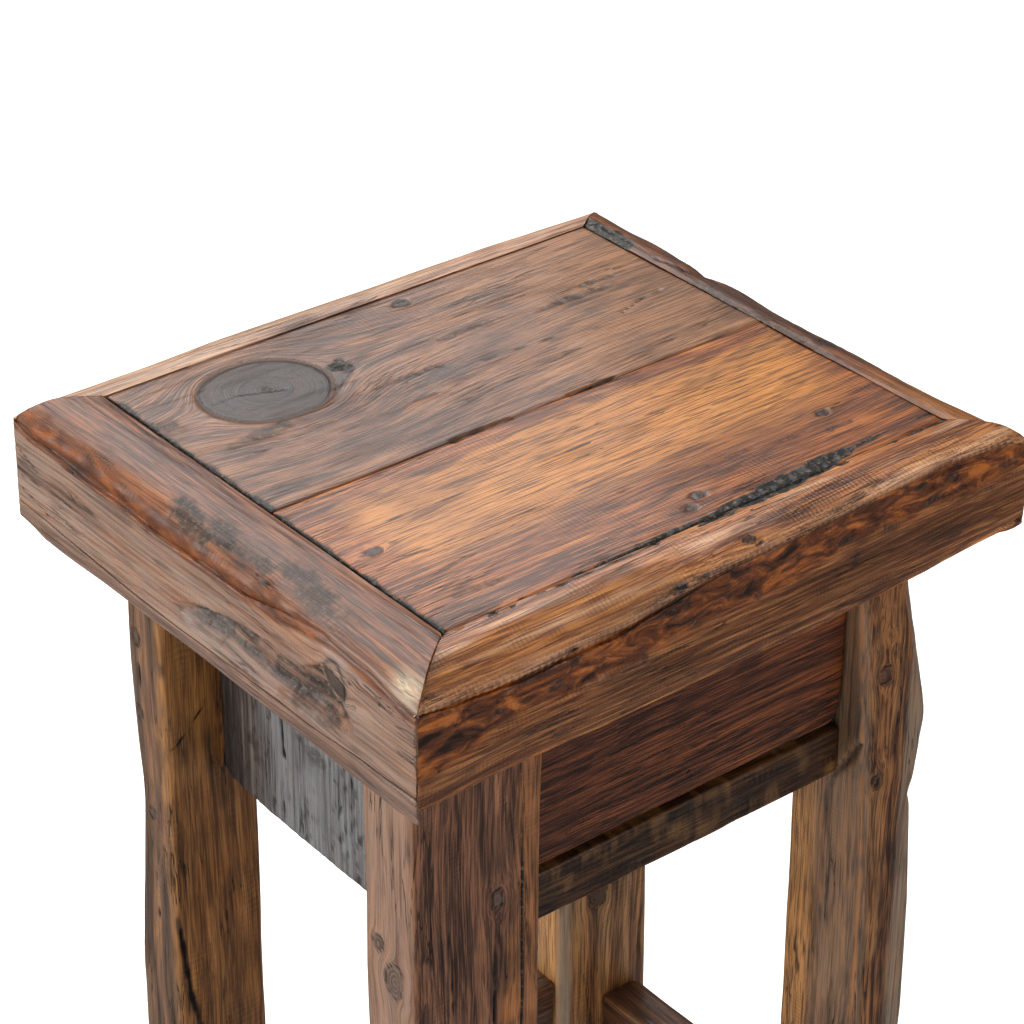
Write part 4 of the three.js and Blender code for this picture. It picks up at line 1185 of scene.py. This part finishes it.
# Brown sawn rails: even streaks with a little grey weathering.
stretcher_wood = varnished_wood("varnished_brown_timber", dark="341e11", mid="5e3921", light="885831",
                                grey="7a685a", ring_mm=3.6, ripple=0.2, ripple_mm=3.8,
                                blotch_colour="321e14", knot="2e1e14", knot_rings="523a29")
low_rails = {"footrest_front": rest}
for order, (side, (legs, axis, pith, knots, cracks)) in enumerate(STRETCHERS.items()):
    piece = between_legs("stretcher_" + side + "_sawn", "stretcher_" + side, legs, axis, 4, 2.0)
    at = points_of(piece)
    carve(piece, axis=axis, pith=pith, seed=430 + 20 * order, wane=0.7, tool=0.28, knots=knots,
          cracks=cracks,
          masks={"grey": 0.3 * ease_in(noise(at, (90, 90, 12), 440 + order), -0.2, 0.6)})
    piece.data.materials.append(stretcher_wood)
    low_rails["stretcher_" + side] = piece
for node_name, piece in low_rails.items():
    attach(piece, "root")
    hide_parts(node_name)

# Inner timbers: two battens hold the boards to the ledges from below, and a block in each corner
# ties the aprons to the seat. They are sawn pine, left without stain. The splines are hidden.

batten = {}
for side, pith in {"left": (-100, 640), "right": (128, 640)}.items():
    low, high = node_box("seat_batten_" + side)
    batten[side] = blank("seat_batten_" + side + "_sawn", low, high, 1.5)
    even_quads(batten[side], 2.4)
    carve(batten[side], axis=1, pith=pith, seed=500, wane=0.2, tool=0.3,
          knots=[((pith[0] + 12, 30, low[2]), 6)])
    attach(batten[side], "root")
    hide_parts("seat_batten_" + side)
# Raw sawn pine: pale, matt, with plain rings.
raw_pine = varnished_wood("raw_sawn_pine", dark="7a5a3c", mid="a5825a", light="c3a074", ring_mm=3.0,
                          ripple=0.3, ripple_mm=3.2, blotch=0.3, blotch_colour="7d6247", gloss=0.6,
                          knot="4a3120", knot_rings="6b4c33")
for piece in batten.values():
    piece.data.materials.append(raw_pine)

PLACES = ("front_left", "front_right", "back_left", "back_right")
for order, place in enumerate(PLACES):
    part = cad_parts["corner_block_" + place]
    block = bpy.data.objects.new("corner_block_" + place + "_sawn", part.data.copy())
    block.data.transform(part.matrix_world)
    block.data.materials.clear()
    bpy.context.scene.collection.objects.link(block)
    bpy.ops.object.select_all(action="DESELECT")
    bpy.context.view_layer.objects.active = block
    block.select_set(True)
    bpy.ops.object.mode_set(mode="EDIT")
    bpy.ops.mesh.select_all(action="SELECT")
    bpy.ops.mesh.remove_doubles(threshold=0.01 * MM)
    bpy.ops.object.mode_set(mode="OBJECT")
    even_quads(block, 2.4)
    middle = points_of(block).mean(axis=0)
    carve(block, axis=2, pith=(middle[0] * 0.5, middle[1] * 0.5), seed=520 + 20 * order, wane=0.15,
          tool=0.2)
    block.data.materials.append(raw_pine)
    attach(block, "root")
    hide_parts("corner_block_" + place)

# The splines are thin strips of beech, glued in slots across the mitres. The grain runs along
# them, with short flecks, and little of them shows.

# Beech: pinkish tan with short darker flecks, dull.
beech = bpy.data.materials.new("oiled_beech")
beech.use_nodes = True
tree = beech.node_tree
shader = tree.nodes["Principled BSDF"]
place = add(tree, "TexCoord", {}, "Object")
along = add(tree, "Mapping", {"Vector": place, "Rotation": (0, 0, math.pi / 4), "Scale": (60, 900, 900)})
fleck = add(tree, "TexNoise", {"Vector": along, "Scale": 1, "Detail": 4, "Roughness": 0.6})
tone = add(tree, "TexNoise", {"Vector": place, "Scale": 90, "Detail": 3, "Roughness": 0.5})
fleck_share = add(tree, "MapRange", {"Value": fleck, "From Min": 0.45, "From Max": 0.65, "To Max": 0.8})
colour = add(tree, "Mix", {0: tone, 6: linear("9a6f47"), 7: linear("b98b5f")}, 2, data_type="RGBA")
colour = add(tree, "Mix", {0: fleck_share, 6: colour, 7: linear("6f4a2c")}, 2, data_type="RGBA")
tree.links.new(colour, shader.inputs["Base Color"])
dulled = add(tree, "MapRange", {"Value": fleck, "To Min": 0.4, "To Max": 0.62})
tree.links.new(dulled, shader.inputs["Roughness"])
bump = add(tree, "Bump", {"Height": fleck, "Strength": 0.4, "Distance": 0.0003})
tree.links.new(bump, shader.inputs["Normal"])
for corner in PLACES:
    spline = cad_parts["mitre_spline_" + corner]
    spline.data.materials.clear()
    spline.data.materials.append(beech)

# The screws are yellow zinc-plated steel with countersunk heads, driven up from below. The plate is a
# pale straw colour, with cloudy dull spots and fine scratches.

# Yellow zinc plate: pale straw metal, with a cloudy shine.
zinc = bpy.data.materials.new("yellow_zinc_plated_steel")
zinc.use_nodes = True
tree = zinc.node_tree
shader = tree.nodes["Principled BSDF"]
place = add(tree, "TexCoord", {}, "Object")
cloud = add(tree, "TexNoise", {"Vector": place, "Scale": 380, "Detail": 4, "Roughness": 0.6})
scratch = add(tree, "TexNoise", {"Vector": place, "Scale": 2400, "Detail": 3, "Roughness": 0.7})
cloud_share = add(tree, "MapRange", {"Value": cloud, "From Min": 0.4, "From Max": 0.65})
colour = add(tree, "Mix", {0: cloud_share, 6: linear("cfc09a"), 7: linear("9f8f68")}, 2, data_type="RGBA")
tree.links.new(colour, shader.inputs["Base Color"])
shader.inputs["Metallic"].default_value = 1.0
dulled = add(tree, "MapRange",
             {"Value": cloud, "From Min": 0.3, "From Max": 0.7, "To Min": 0.28, "To Max": 0.5})
tree.links.new(dulled, shader.inputs["Roughness"])
bump = add(tree, "Bump", {"Height": scratch, "Strength": 0.25, "Distance": 0.0001})
tree.links.new(bump, shader.inputs["Normal"])

for name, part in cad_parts.items():
    if "screw" in name:
        part.data.materials.clear()
        part.data.materials.append(zinc)
